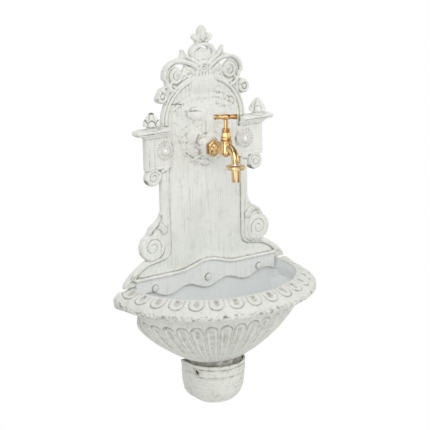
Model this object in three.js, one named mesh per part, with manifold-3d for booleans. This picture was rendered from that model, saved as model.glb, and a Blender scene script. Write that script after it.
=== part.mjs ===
// Cast wall fountain: backplate with lion mask, half-round basin, drain cup and brass garden tap.
// Millimetres, +Z up. The wall is the plane y = 0 and the front of the fountain faces -Y.
// Heights are given above the foot of the drain cup. The origin is on the backplate's flat back,
// on the centre line, at the mounting height.
import * as THREE from 'three';
import { mergeVertices } from 'three/addons/utils/BufferGeometryUtils.js';
import Module from 'manifold-3d';

const wasm = await Module();
wasm.setup();

// Overall
const MOUNT_HEIGHT = 400;
const SEAT_GAP = 0.3;
const WELD = 1;

// Backplate: panel, arch and neck
const PANEL_DEPTH = 8;
const EDGE_DEPTH = 11;
const ARCH_SPRING = 545;
const ARCH_HALF_WIDTH = 92;
const ARCH_RISE = 84;
const NECK_HALF_WIDTH = 97;
const NECK_BOTTOM = 385;
const SHOULDER_HALF_WIDTH = 130;
const SHOULDER_HEIGHT = 345;
const FOOT_HALF_WIDTH = 182;
const FOOT_TOP = 298;
const FOOT_BOTTOM = 252.3;

// Border bead that follows the arch, the neck and the foot
const BEAD_INSET = 12;
const BEAD_WIDTH = 6;
const BEAD_DEPTH = 14;
const BEAD_TURN_HEIGHT = 312;

// Wavy lap at the bottom, in front of the basin's back wall
const LAP_HALF_WIDTH = 157;
const LAP_LOW = 223;
const LAP_WAVE = 12;
const LAP_END_RISE = 3;
const LAP_PITCH = 88;
const LAP_THICKNESS = 5.5;
const LIP_HEIGHT = 261;
const LIP_CREST = 13;
const LIP_CREST_HALF_WIDTH = 65;
const LIP_WIDTH = 6.5;
const LIP_DEPTH = 15;

// Pilaster block with cornice, rosette, bracket curl and cone
const BLOCK_INNER = 78;
const BLOCK_OUTER = 129;
const BLOCK_BOTTOM = 464;
const BLOCK_TOP = 523;
const BLOCK_DEPTH = 14;
const BLOCK_FRAME = 7;
const BLOCK_TRIM = 3;
const BLOCK_RECESS = 2.5;
const CORNICE_HEIGHT = 12;
const CORNICE_END = 151;
const CORNICE_DEPTH = 22;
const CORNICE_BEVEL = 1.2;
const BED_MOULD_HEIGHT = 6;
const BED_MOULD_REACH = 10;
const ROSETTE_X = 89;
const ROSETTE_HEIGHT = 498;
const ROSETTE_RADIUS = 17.5;
const ROSETTE_PETALS = 12;
const ROSETTE_PETAL_DEPTH = 3;
const ROSETTE_DOME_RADIUS = 9;
const ROSETTE_DOME_DEPTH = 5;
const SCREW_HOLE_RADIUS = 3.5;
const CURL_X = 113.5;
const CURL_HEIGHT = 451;
const CURL_RADIUS = 16.5;
const CONE_X = 117;
const CONE_RADIUS = 17;
const CONE_NECK_RADIUS = 11;
const CONE_NECK_HEIGHT = 7;
const CONE_HEIGHT = 30;
const CONE_LOBES = 6;

// Big volutes beside the foot of the panel
const VOLUTE_X = 119;
const VOLUTE_HEIGHT = 321;
const VOLUTE_RADIUS = 26;
const VOLUTE_DEPTH = 14;
const VOLUTE_FIELD_DEPTH = 10;

// Crest
const CREST_DEPTH = 8;
const CREST_RELIEF = 13;
const CREST_HEIGHT = 87;
const CREST_DRAWN_HEIGHT = 87;
const ARCH_TOP = ARCH_SPRING + ARCH_RISE;
const CREST_TOP = ARCH_TOP + CREST_HEIGHT;
const BUD_HALF_WIDTH = 9;
const BUD_HEIGHT = 27;
const LEAFLET_X = 14.5;
const CARTOUCHE_DROP = 47;
const CARTOUCHE_HEIGHT = CREST_TOP - CARTOUCHE_DROP;
const CARTOUCHE_HALF_WIDTH = 28;
const CARTOUCHE_HALF_HEIGHT = 16;
const CARTOUCHE_BAND = 8;
const CARTOUCHE_GAP = 3.6;
const MEDALLION_RISE = 12;
const MEDALLION_HEIGHT = ARCH_TOP + MEDALLION_RISE;
const MEDALLION_RADIUS = 9;
const MEDALLION_EYE = 2.4;
const SCROLL_BAND = 8;

// Lion mask
const MASK_CENTRE_HEIGHT = 530;
const MASK_HALF_WIDTH = 64;
const MASK_HALF_HEIGHT = 74;
const MOUTH_HEIGHT = 494.5;
const MOUTH_RADIUS = 18;
const MOUTH_DEPTH = 34;
const MANE_LOCKS = 14;
const MANE_START = 0.7;
const MANE_NOTCH = 0.06;
const MANE_LOCK_DEPTH = 1.5;

// Basin
const RIM_HALF_WIDTH = 200;
const RIM_FRONT = 205;
const RIM_STRAIGHT = 32.5;
const RIM_GAP = 1.3;
const RIM_TOP = FOOT_BOTTOM - RIM_GAP;
const RIM_BEAD_DROP = 22;
const RIM_INNER_HALF_WIDTH = 162;
const RIM_INNER_FRONT = 169;
const RIM_LOBES = 16;
const RIM_LOBE_RELIEF = 3;
const BOWL_DROP = 37;
const BOWL_TOP = RIM_TOP - BOWL_DROP;
const BOWL_HALF_WIDTH = 176;
const BOWL_FRONT = 164;
const BOWL_BOTTOM = 88;
const BOWL_BOTTOM_RADIUS = 30;
const BOWL_FULLNESS = 1.4;
const BOWL_WALL = 5;
const BAND_HEIGHT = 16;
const FLUTES = 19;
const FLUTE_RELIEF = 2.2;
const BACK_WALL = 5;
const BACK_WALL_RISE = 5;
const BACK_WALL_TOP = RIM_TOP + BACK_WALL_RISE;
const BACK_WALL_HALF_WIDTH = 150;
const DRAIN_RADIUS = 12;
const SPIGOT_BOTTOM = 68;
const SPIGOT_TOP = 97;

// Drain cup
const CUP_RADIUS = 58.4;
const CUP_STRAIGHT = 27;
const CUP_TOP = 88;
const CUP_WALL = 4;
const CUP_LIP_HEIGHT = 8;
const CUP_LIP_REACH = 1.6;
const CUP_BAND_BOTTOM = 65;
const CUP_BAND_TOP = 76;
const CUP_BAND_REACH = 1.2;
const CUP_HOLE_ANGLE = 69;
const CUP_HOLE_RADIUS = 3;
const CUP_CLEARANCE = 1.5;

// Flange bolts
const BOLT_X = 118;
const BOLT_HEIGHT = 243;
const BOLT_HEAD_RADIUS = 6.5;
const BOLT_HEAD_DEPTH = 4.5;
const BOLT_SHANK_RADIUS = 3;

// Tap
const TAP_TAIL_RADIUS = 10.4;
const TAP_FLANGE_RADIUS = 16.8;
const TAP_FLANGE_THICKNESS = 8;
const TAP_NECK_RADIUS = 7.5;
const TAP_AXIS_DEPTH = 76.5;
const BARREL_RADIUS = 10.7;
const BARREL_RISE = 21.5;
const BARREL_DROP = 7.5;
const BARREL_TOP = MOUTH_HEIGHT + BARREL_RISE;
const BARREL_BOTTOM = MOUTH_HEIGHT - BARREL_DROP;
const SPOUT_RADIUS = 6.4;
const SPOUT_BORE = 4.5;
const OUTLET_DEPTH = 105;
const HOSE_NUT_RADIUS = 17;
const SPOUT_DROP = 20;
const HOSE_NUT_TOP = MOUTH_HEIGHT - SPOUT_DROP;
const HOSE_NUT_THICKNESS = 5.5;
const HOSE_NUT_SIDES = 16;
const NOZZLE_RADIUS = 8;
const NOZZLE_BORE = 6;
const NOZZLE_LENGTH = 25;
const NOZZLE_BOTTOM = HOSE_NUT_TOP - HOSE_NUT_THICKNESS - NOZZLE_LENGTH;
const NOZZLE_SIDES = 14;
const BONNET_RADIUS = 9.8;
const BONNET_HEIGHT = 16;
const PACKING_NUT_RADIUS = 7.6;
const PACKING_NUT_HEIGHT = 6;
const SPINDLE_RADIUS = 3.9;
const SPINDLE_SIDES = 16;
const SPINDLE_CLEARANCE = 0.1;
const SPINDLE_REACH = 15;
const SPINDLE_INSERT = 16;
const HANDLE_LENGTH = 43;
const HANDLE_RADIUS = 4.9;
const HANDLE_WAIST_RADIUS = 3.6;
const HANDLE_ANGLE = -35;

const degrees = THREE.MathUtils.degToRad;

const castPaint = new THREE.MeshStandardMaterial({ color: 0xe4e5df, roughness: 0.62, metalness: 0.0 });
const boltPaint = new THREE.MeshStandardMaterial({ color: 0xdddeda, roughness: 0.5, metalness: 0.1 });
const brass = new THREE.MeshStandardMaterial({ color: 0xd9a452, roughness: 0.22, metalness: 1.0 });

// Makes a solid for joining and cutting out of a closed geometry.
function toSolid(geometry) {
  const bare = geometry.clone();
  bare.deleteAttribute('normal');
  bare.deleteAttribute('uv');
  const merged = mergeVertices(bare, 1e-4);
  const index = merged.index.array;
  const kept = [];
  for (let i = 0; i < index.length; i += 3) {
    const [a, b, c] = [index[i], index[i + 1], index[i + 2]];
    if (a !== b && b !== c && c !== a) kept.push(a, b, c);
  }
  return new wasm.Manifold(new wasm.Mesh({
    numProp: 3,
    vertProperties: new Float32Array(merged.attributes.position.array),
    triVerts: new Uint32Array(kept),
  }));
}

function toGeometry(solid) {
  const mesh = solid.getMesh();
  const geometry = new THREE.BufferGeometry();
  geometry.setAttribute('position', new THREE.BufferAttribute(mesh.vertProperties.slice(), 3));
  geometry.setIndex(new THREE.BufferAttribute(mesh.triVerts.slice(), 1));
  geometry.computeVertexNormals();
  return geometry;
}

function joinAll(solids) {
  return solids.reduce((whole, next) => whole.add(next));
}

// The same solid on the other side of the centre line.
function mirrored(solid) {
  const geometry = toGeometry(solid);
  geometry.scale(-1, 1, 1);
  geometry.setIndex(Array.from(geometry.index.array).reverse());
  return toSolid(geometry);
}

function bothSides(solid) {
  return solid.add(mirrored(solid));
}

// A box from its low and high corners.
function box(low, high) {
  const size = high.map((value, axis) => value - low[axis]);
  const geometry = new THREE.BoxGeometry(...size);
  geometry.translate(...low.map((value, axis) => value + size[axis] / 2));
  return toSolid(geometry);
}

// A flat shape drawn in x and height, standing from one depth in front of the wall to another.
// The front edge is softened by a bevel.
function slab(shape, backDepth, frontDepth, bevel = 0, curveSegments = 6) {
  const geometry = new THREE.ExtrudeGeometry(shape, {
    depth: frontDepth - backDepth - 2 * bevel,
    bevelEnabled: bevel > 0,
    bevelThickness: bevel,
    bevelSize: bevel,
    bevelOffset: -bevel,
    bevelSegments: 1,
    curveSegments,
  });
  geometry.rotateX(Math.PI / 2);
  geometry.translate(0, -backDepth - bevel, 0);
  return toSolid(geometry);
}

// A raised ridge along a line: as wide as widthAt says at its foot, with one crest along the middle.
function ridge(line, widthAt, backDepth, frontDepth) {
  const { left, right } = bandEdges(line, widthAt);
  const rings = [[left, backDepth], [right, backDepth], [line, frontDepth]];
  const positions = rings.flatMap(([edge, depth]) => edge.flatMap(([x, z]) => [x, -depth, z]));
  const n = line.length;
  const index = [];
  const quad = (a, b, c, d) => index.push(a, b, c, a, c, d);
  for (let i = 0; i < n - 1; i += 1) {
    quad(i, i + 1, n + i + 1, n + i);
    quad(i + 1, i, 2 * n + i, 2 * n + i + 1);
    quad(n + i, n + i + 1, 2 * n + i + 1, 2 * n + i);
  }
  index.push(0, n, 2 * n, n - 1, 3 * n - 1, 2 * n - 1);
  const geometry = new THREE.BufferGeometry();
  geometry.setAttribute('position', new THREE.Float32BufferAttribute(positions, 3));
  geometry.setIndex(index);
  return toSolid(geometry);
}

// A closed shape from corner points given as [x, height].
function polygon(points) {
  return new THREE.Shape(points.map(([x, z]) => new THREE.Vector2(x, z)));
}

// Points along a smooth line through [x, height] pairs.
function smoothLine(points, steps) {
  const curve = new THREE.SplineCurve(points.map(([x, z]) => new THREE.Vector2(x, z)));
  return curve.getPoints(steps).map((p) => [p.x, p.y]);
}

function arcLine(cx, cz, radiusX, radiusZ, fromDeg, toDeg, steps) {
  return Array.from({ length: steps + 1 }, (_, i) => {
    const angle = degrees(fromDeg + ((toDeg - fromDeg) * i) / steps);
    return [cx + radiusX * Math.cos(angle), cz + radiusZ * Math.sin(angle)];
  });
}

// A spiral that winds from an outer to an inner radius.
function spiralLine(cx, cz, outer, inner, startDeg, turns, steps) {
  return Array.from({ length: steps + 1 }, (_, i) => {
    const share = i / steps;
    const radius = outer + (inner - outer) * share;
    const angle = degrees(startDeg) + turns * 2 * Math.PI * share;
    return [cx + radius * Math.cos(angle), cz + radius * Math.sin(angle)];
  });
}

// The two edges of a band along a line: widthAt gives the full width for a share of 0 to 1.
function bandEdges(line, widthAt) {
  const left = [];
  const right = [];
  line.forEach(([x, z], i) => {
    const before = line[Math.max(i - 1, 0)];
    const after = line[Math.min(i + 1, line.length - 1)];
    const along = new THREE.Vector2(after[0] - before[0], after[1] - before[1]).normalize();
    const half = widthAt(i / (line.length - 1)) / 2;
    left.push([x - along.y * half, z + along.x * half]);
    right.push([x + along.y * half, z - along.x * half]);
  });
  return { left, right };
}

function band(line, widthAt) {
  const { left, right } = bandEdges(line, widthAt);
  return polygon([...left, ...right.reverse()]);
}

function ellipseShape(cx, cz, radiusX, radiusZ) {
  const shape = new THREE.Shape();
  shape.absellipse(cx, cz, radiusX, radiusZ, 0, 2 * Math.PI, false, 0);
  return shape;
}

// A rounded lump: an ellipsoid turned in the plane of the wall by a tilt in degrees.
function lump(x, depth, z, halfWidth, halfDepth, halfHeight, tilt = 0, around = 12, up = 8) {
  const geometry = new THREE.SphereGeometry(1, around, up);
  geometry.rotateX(Math.PI / 2);
  geometry.scale(halfWidth, halfDepth, halfHeight);
  geometry.rotateY(degrees(tilt));
  geometry.translate(x, -depth, z);
  return toSolid(geometry);
}

// A turned form about an upright axis; profile pairs are [radius, height] from the axis to the axis.
function turned(profile, x, depth, sides) {
  const geometry = new THREE.LatheGeometry(profile.map(([r, z]) => new THREE.Vector2(r, z)), sides);
  geometry.rotateX(Math.PI / 2);
  geometry.translate(x, -depth, 0);
  return toSolid(geometry);
}

// A plain upright cylinder on the centre plane, for bores and chambers.
function uprightPin(radius, low, high, depth, sides) {
  return turned([[0, low], [radius, low], [radius, high], [0, high]], 0, depth, sides);
}

// A turned form about an axis that points out of the wall; pairs are [radius, depth].
function turnedOutward(profile, x, z, sides) {
  const geometry = new THREE.LatheGeometry(profile.map(([r, depth]) => new THREE.Vector2(r, depth)), sides);
  geometry.rotateX(Math.PI);
  geometry.translate(x, 0, z);
  return toSolid(geometry);
}

function roundPin(radius, backDepth, frontDepth, x, z, sides = 16) {
  const profile = [[0, backDepth], [radius, backDepth], [radius, frontDepth], [0, frontDepth]];
  return turnedOutward(profile, x, z, sides);
}

// Backplate

function lapEdge(x) {
  const wave = (1 - Math.cos((2 * Math.PI * x) / LAP_PITCH)) / 2;
  return LAP_LOW + LAP_WAVE * wave + LAP_END_RISE * (x / LAP_HALF_WIDTH) ** 2;
}

function lipLine(x) {
  const share = Math.min(Math.abs(x) / LIP_CREST_HALF_WIDTH, 1);
  return LIP_HEIGHT + LIP_CREST * Math.cos((share * Math.PI) / 2) ** 2;
}

// Right-hand edge of the main plate, from the top of the arch to the foot.
function plateEdge() {
  const arch = arcLine(0, ARCH_SPRING, ARCH_HALF_WIDTH, ARCH_RISE, 90, 0, 11);
  const neck = [[NECK_HALF_WIDTH, BLOCK_BOTTOM], [NECK_HALF_WIDTH, NECK_BOTTOM + 12]];
  const shoulder = smoothLine([
    [NECK_HALF_WIDTH, NECK_BOTTOM],
    [NECK_HALF_WIDTH + 8, NECK_BOTTOM - 15],
    [SHOULDER_HALF_WIDTH - 8, SHOULDER_HEIGHT + 13],
    [SHOULDER_HALF_WIDTH, SHOULDER_HEIGHT],
  ], 6);
  const foot = smoothLine([
    [SHOULDER_HALF_WIDTH - 2, FOOT_TOP + 1],
    [SHOULDER_HALF_WIDTH + 14, FOOT_TOP - 7],
    [FOOT_HALF_WIDTH - 17, FOOT_TOP - 22],
    [FOOT_HALF_WIDTH - 3, FOOT_BOTTOM + 9],
    [FOOT_HALF_WIDTH, FOOT_BOTTOM],
  ], 7);
  return [...arch, ...neck, ...shoulder, ...foot];
}

function mainPlate() {
  const right = plateEdge();
  const left = right.slice(1).reverse().map(([x, z]) => [-x, z]);
  return slab(polygon([...right, ...left]), 0, PANEL_DEPTH);
}

// Line of the border bead on the right, broken by the pilaster block.
function beadLines() {
  const x = ARCH_HALF_WIDTH - BEAD_INSET + BEAD_WIDTH / 2;
  const rise = ARCH_RISE - BEAD_INSET / 2 - 1;
  const arch = [...arcLine(0, ARCH_SPRING, x, rise, 90, 0, 10), [x, BLOCK_TOP]];
  const foot = smoothLine([
    [x, BEAD_TURN_HEIGHT],
    [x + 5, BEAD_TURN_HEIGHT - 12],
    [x + 20, BEAD_TURN_HEIGHT - 17],
    [SHOULDER_HALF_WIDTH, FOOT_TOP - 8],
    [FOOT_HALF_WIDTH - 32, FOOT_TOP - 19],
    [FOOT_HALF_WIDTH - 20, FOOT_TOP - 31],
  ], 8);
  return [arch, [[x, BLOCK_BOTTOM + WELD], ...foot]];
}

function borderBead() {
  return beadLines().map((line) => ridge(line, () => BEAD_WIDTH, PANEL_DEPTH - WELD, BEAD_DEPTH));
}

// Outer margin between the bead and the plate's edge, a little proud of the panel.
function edgeMargin() {
  const outer = plateEdge().filter(([, z]) => z < BLOCK_BOTTOM + WELD);
  const inner = beadLines()[1].reverse();
  return slab(polygon([...outer, ...inner]), PANEL_DEPTH - WELD, EDGE_DEPTH);
}

function wavyLap() {
  const steps = 22;
  const xs = Array.from({ length: steps + 1 }, (_, i) => LAP_HALF_WIDTH * ((2 * i) / steps - 1));
  const back = BACK_WALL + SEAT_GAP;
  const low = xs.map((x) => [x, lapEdge(x)]);
  const high = xs.map((x) => [x, lipLine(x) + WELD]).reverse();
  const strip = slab(polygon([...low, ...high]), back, back + LAP_THICKNESS);
  const lipPoints = xs.map((x) => [x, lipLine(x) + LIP_WIDTH / 2]);
  const lip = ridge(lipPoints, () => LIP_WIDTH, back, LIP_DEPTH);
  return [strip, lip];
}

function volute(x, z, radius, field, front, turns, startDeg, sides) {
  const width = radius / 3;
  const disc = roundPin(radius, 0, field, x, z, sides);
  const line = spiralLine(x, z, radius - width / 2, width * 0.3, startDeg, turns, Math.round(10 * turns));
  const winding = ridge(line, (share) => width * (1 - 0.4 * share), field - WELD, front);
  return disc.add(winding);
}

function bigVolute() {
  return volute(VOLUTE_X, VOLUTE_HEIGHT, VOLUTE_RADIUS, VOLUTE_FIELD_DEPTH, VOLUTE_DEPTH, 1.5, -150, 16);
}

// Small leaf that lies in the shoulder above the big volute.
function shoulderLeaf() {
  const line = smoothLine([
    [NECK_HALF_WIDTH - 4, SHOULDER_HEIGHT + 5],
    [NECK_HALF_WIDTH + 6, SHOULDER_HEIGHT + 15],
    [NECK_HALF_WIDTH + 18, SHOULDER_HEIGHT + 13],
    [SHOULDER_HALF_WIDTH - 4, SHOULDER_HEIGHT + 1],
  ], 5);
  return ridge(line, (share) => 8 * (1 - 0.5 * share), EDGE_DEPTH - WELD, VOLUTE_DEPTH);
}

function pilasterBlock() {
  const body = box([BLOCK_INNER, -BLOCK_DEPTH, BLOCK_BOTTOM], [BLOCK_OUTER, 0, BLOCK_TOP]);
  const recess = box(
    [BLOCK_INNER + BLOCK_TRIM, -BLOCK_DEPTH - WELD, BLOCK_BOTTOM + BLOCK_FRAME],
    [BLOCK_OUTER - BLOCK_FRAME, -BLOCK_DEPTH + BLOCK_RECESS, BLOCK_TOP - BLOCK_TRIM],
  );
  return body.subtract(recess);
}

function corniceWithBedMould() {
  const inner = ARCH_HALF_WIDTH - BEAD_INSET;
  const corniceBottom = BLOCK_TOP + BED_MOULD_HEIGHT;
  const top = corniceBottom + CORNICE_HEIGHT;
  const shelf = polygon([
    [inner, corniceBottom], [CORNICE_END - 5, corniceBottom], [CORNICE_END - 1, corniceBottom + 3],
    [CORNICE_END, corniceBottom + CORNICE_HEIGHT / 2], [CORNICE_END - 3, top - 1.5], [CORNICE_END - 9, top],
    [inner, top],
  ]);
  const mould = polygon([
    [BLOCK_INNER, BLOCK_TOP - WELD], [BLOCK_OUTER, BLOCK_TOP - WELD],
    [BLOCK_OUTER + BED_MOULD_REACH, corniceBottom + WELD], [BLOCK_INNER, corniceBottom + WELD],
  ]);
  return slab(shelf, 0, CORNICE_DEPTH, CORNICE_BEVEL).add(slab(mould, 0, BLOCK_DEPTH + 3));
}

function rosette() {
  const steps = ROSETTE_PETALS * 2;
  const field = BLOCK_DEPTH - BLOCK_RECESS;
  const outline = Array.from({ length: steps }, (_, i) => {
    const angle = (i / steps) * 2 * Math.PI;
    const radius = ROSETTE_RADIUS * (i % 2 === 0 ? 0.82 : 1);
    return [ROSETTE_X + radius * Math.cos(angle), ROSETTE_HEIGHT + radius * Math.sin(angle)];
  });
  const petals = slab(polygon(outline), field - WELD, field + ROSETTE_PETAL_DEPTH);
  const domeFoot = field + ROSETTE_PETAL_DEPTH - WELD;
  const dome = turnedOutward([
    [0, domeFoot], [ROSETTE_DOME_RADIUS, domeFoot],
    [ROSETTE_DOME_RADIUS * 0.6, domeFoot + ROSETTE_DOME_DEPTH], [0, domeFoot + ROSETTE_DOME_DEPTH],
  ], ROSETTE_X, ROSETTE_HEIGHT, 8);
  return petals.add(dome);
}

function bracketCurl() {
  return volute(CURL_X, CURL_HEIGHT, CURL_RADIUS, BLOCK_DEPTH - 3, BLOCK_DEPTH + 1, 1.15, 150, 12);
}

function coneFinial() {
  const foot = BLOCK_TOP + BED_MOULD_HEIGHT + CORNICE_HEIGHT - WELD;
  const flare = foot + CONE_NECK_HEIGHT;
  const top = foot + CONE_HEIGHT + WELD;
  const profile = [
    [0, foot], [CONE_NECK_RADIUS, foot], [CONE_NECK_RADIUS, flare - 1],
    [CONE_RADIUS, flare + 1], [CONE_RADIUS * 0.84, flare + 8], [CONE_RADIUS * 0.34, top - 2], [0, top],
  ];
  const sides = CONE_LOBES * 2;
  const geometry = new THREE.LatheGeometry(profile.map(([r, z]) => new THREE.Vector2(r, z)), sides);
  const position = geometry.attributes.position;
  for (let i = 0; i < position.count; i += 1) {
    const height = position.getY(i);
    const column = Math.floor(i / profile.length) % sides;
    if (column % 2 === 1 && height > flare - 1 && height < top - 4) {
      position.setX(i, position.getX(i) * 0.86);
      position.setZ(i, position.getZ(i) * 0.86);
    }
  }
  geometry.rotateX(Math.PI / 2);
  geometry.translate(CONE_X, -CORNICE_DEPTH / 2 - 2, 0);
  return toSolid(geometry);
}

// Crest, from the bud at the top down to the side scrolls

function bud() {
  const foot = CREST_TOP - BUD_HEIGHT;
  const stemFoot = CARTOUCHE_HEIGHT + CARTOUCHE_HALF_HEIGHT - 4;
  const outline = smoothLine([
    [0, CREST_TOP], [BUD_HALF_WIDTH * 0.75, CREST_TOP - 5], [BUD_HALF_WIDTH, CREST_TOP - 14],
    [BUD_HALF_WIDTH * 0.7, foot], [0, foot - 4],
  ], 6);
  const left = outline.slice(1, -1).reverse().map(([x, z]) => [-x, z]);
  const flat = slab(polygon([...outline, ...left]), 0, CREST_DEPTH);
  const middle = CREST_TOP - BUD_HEIGHT / 2 - 1;
  const round = lump(0, CREST_DEPTH - 2, middle, BUD_HALF_WIDTH - 1.5, 9, BUD_HEIGHT / 2 - 2, 0, 8, 4);
  const stemShape = polygon([[-7, foot + 6], [-11, stemFoot], [11, stemFoot], [7, foot + 6]]);
  const leafletShape = polygon([
    [3, foot - 6], [11, foot - 5], [16, foot + 1], [LEAFLET_X + 7, foot + 6], [LEAFLET_X + 4, foot + 11],
    [LEAFLET_X - 2, foot + 11.5], [LEAFLET_X - 7, foot + 7], [3, foot + 2],
  ]);
  const leaflet = slab(leafletShape, 0, CREST_DEPTH + 2);
  return joinAll([flat, round, slab(stemShape, 0, CREST_RELIEF - 2), bothSides(leaflet)]);
}

function cartouche() {
  const outline = ellipseShape(0, CARTOUCHE_HEIGHT, CARTOUCHE_HALF_WIDTH, CARTOUCHE_HALF_HEIGHT);
  const plate = slab(outline, 0, CREST_DEPTH, 0, 7);
  const ringLine = arcLine(0, CARTOUCHE_HEIGHT - 2, CARTOUCHE_HALF_WIDTH - CARTOUCHE_BAND / 2,
    CARTOUCHE_HALF_HEIGHT + 2 - CARTOUCHE_BAND / 2, -10, 190, 10);
  const ring = ridge(ringLine, () => CARTOUCHE_BAND, CREST_DEPTH - WELD, CREST_RELIEF);
  const shell = lump(0, CREST_DEPTH - 2, CARTOUCHE_HEIGHT - 6, CARTOUCHE_HALF_WIDTH - 13, 6, 11, 0, 8, 4);
  const gapLine = arcLine(0, CARTOUCHE_HEIGHT - 5, 14, 13, 35, 145, 5);
  const gap = slab(band(gapLine, () => CARTOUCHE_GAP), -WELD, CREST_RELIEF + 6);
  return joinAll([plate, ring, shell]).subtract(gap);
}

function medallionAndPlume() {
  const rim = turnedOutward([
    [0, 4], [MEDALLION_RADIUS, 4], [MEDALLION_RADIUS, CREST_RELIEF + 1],
    [MEDALLION_RADIUS - 3, CREST_RELIEF + 3],
    [MEDALLION_EYE, CREST_RELIEF + 2], [MEDALLION_EYE, CREST_RELIEF - 2], [0, CREST_RELIEF - 2],
  ], 0, MEDALLION_HEIGHT, 9);
  const hood = lump(0, CREST_DEPTH, MEDALLION_HEIGHT + 10, 12, 8, 9, 0, 8, 4);
  const plume = [-1, 0, 1].map((k) => {
    const height = MEDALLION_HEIGHT - 18 + Math.abs(k) * 2;
    return lump(k * 7, CREST_DEPTH + 1, height, 3.5, 6, 17, -k * 8, 6, 3);
  });
  return joinAll([rim, hood, ...plume]);
}

// The place of a point drawn at an x and a height above the arch, for a crest of the drawn height.
function crestPlace([x, rise]) {
  const unit = CREST_HEIGHT / CREST_DRAWN_HEIGHT;
  return [x * unit, ARCH_TOP + rise * unit];
}

// Right-hand crest scroll with its upturned leaf, inner curls and the pierced gap between them.
function crestScroll() {
  const outline = [
    [0, -9], [0, 35], [20, 31], [29, 32], [38, 40], [45, 47], [47, 36], [57, 30.5],
    ...arcLine(58, 1, 29.5, 28, 68, 0, 5), [81.5, -7], [79, -18], [70, -29], [50, -24],
  ];
  const flat = slab(polygon(outline.map(crestPlace)), 0, CREST_DEPTH);
  const outerLine = [
    ...smoothLine([[14, 11], [28, 20], [44, 25.5]], 3), ...arcLine(57, 1, 25.5, 24.5, 100, -8, 6),
  ];
  const leafLine = smoothLine([[14, 19], [26, 28], [37, 35], [44.5, 45.5]], 5);
  const raised = (line, widthAt, front) => ridge(line.map(crestPlace), widthAt, CREST_DEPTH - WELD, front);
  const outerBand = raised(outerLine, (share) => SCROLL_BAND * (0.55 + 0.45 * share), CREST_RELIEF);
  const leaf = raised(leafLine, (share) => SCROLL_BAND * 1.25 * (1 - 0.85 * share), CREST_RELIEF + 1);
  const ringLine = arcLine(57, 1, 13, 12.5, 150, -170, 8);
  const innerRing = raised(ringLine, (share) => 6 * (1 - 0.4 * share), CREST_RELIEF);
  const curlLine = arcLine(33, 3, 8.5, 8.5, -120, 190, 6);
  const smallCurl = raised(curlLine, (share) => 5.5 * (1 - 0.3 * share), CREST_RELIEF);
  const gapOutline = [[40, 13.5], [46, 18], [54, 19.5], [60, 18], [52, 15.5], [43, 7.5]];
  const gap = slab(polygon(gapOutline.map(crestPlace)), -WELD, CREST_RELIEF + 4);
  return joinAll([flat, outerBand, leaf, innerRing, smallCurl]).subtract(gap);
}

// Rolled knob that ends the crest at each side, with its leaf running into the arch.
function sideKnob() {
  const outline = [
    [70, -17], [79, -16], [86, -17.5], [94, -21], [100, -30], [102.5, -38], [98, -44.5], [86, -47], [78, -45],
  ];
  const base = slab(polygon(outline.map(crestPlace)), 0, CREST_DEPTH + 1);
  const rollLine = arcLine(90, -32.5, 8.5, 9.5, 130, -150, 7).map(crestPlace);
  const roll = ridge(rollLine, (share) => 6.5 * (1 - 0.3 * share), CREST_DEPTH, CREST_RELIEF);
  const leafLine = smoothLine([[80, -7], [76, -17], [70, -25], [62, -28]], 4).map(crestPlace);
  const leaf = ridge(leafLine, (share) => 9 * (1 - 0.5 * share), CREST_DEPTH - 3, CREST_RELIEF - 1);
  return joinAll([base, roll, leaf]);
}

// Forms of the lion's head, each a rounded swelling: place, depth of its middle plane, half sizes, tilt.
function maskForms() {
  const z = MASK_CENTRE_HEIGHT;
  const form = (x, height, depth, halfWidth, halfDepth, halfHeight, tilt = 0) => (
    { x, z: z + height, depth, halfWidth, halfDepth, halfHeight, tilt });
  const middle = {
    mane: form(0, 0, PANEL_DEPTH - 2, MASK_HALF_WIDTH + 2, 12, MASK_HALF_HEIGHT + 2),
    face: form(0, 2, 13, 42, 12, 48),
    forehead: form(0, 28, 17, 27, 10, 20),
    nose: form(0, 4, 25, 9, 10, 26),
    noseTip: form(0, -14, 33, 11, 6, 7),
    jaw: form(0, -54, 20, 17, 11, 10),
    beard: form(0, -66, 13, 13, 9, 12),
  };
  const sides = {
    brow: form(21, 24, 24, 17, 7, 5, 14),
    eye: form(21, 13, 21, 7, 5, 4.5),
    cheek: form(29, -10, 17, 15, 9, 16),
    muzzle: form(13, -27, 25, 15, 12, 12),
    ear: form(54, 40, 12, 10, 7, 12, -25),
  };
  const paired = Object.values(sides).flatMap((side) => [side, { ...side, x: -side.x, tilt: -side.tilt }]);
  return [...Object.values(middle), ...paired];
}

function formDepth(form, x, z) {
  const turn = degrees(form.tilt);
  const dx = x - form.x;
  const dz = z - form.z;
  const across = (dx * Math.cos(turn) + dz * Math.sin(turn)) / form.halfWidth;
  const up = (dz * Math.cos(turn) - dx * Math.sin(turn)) / form.halfHeight;
  const inside = 1 - across ** 2 - up ** 2;
  return inside > 0 ? form.depth + form.halfDepth * Math.sqrt(inside) : 0;
}

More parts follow.
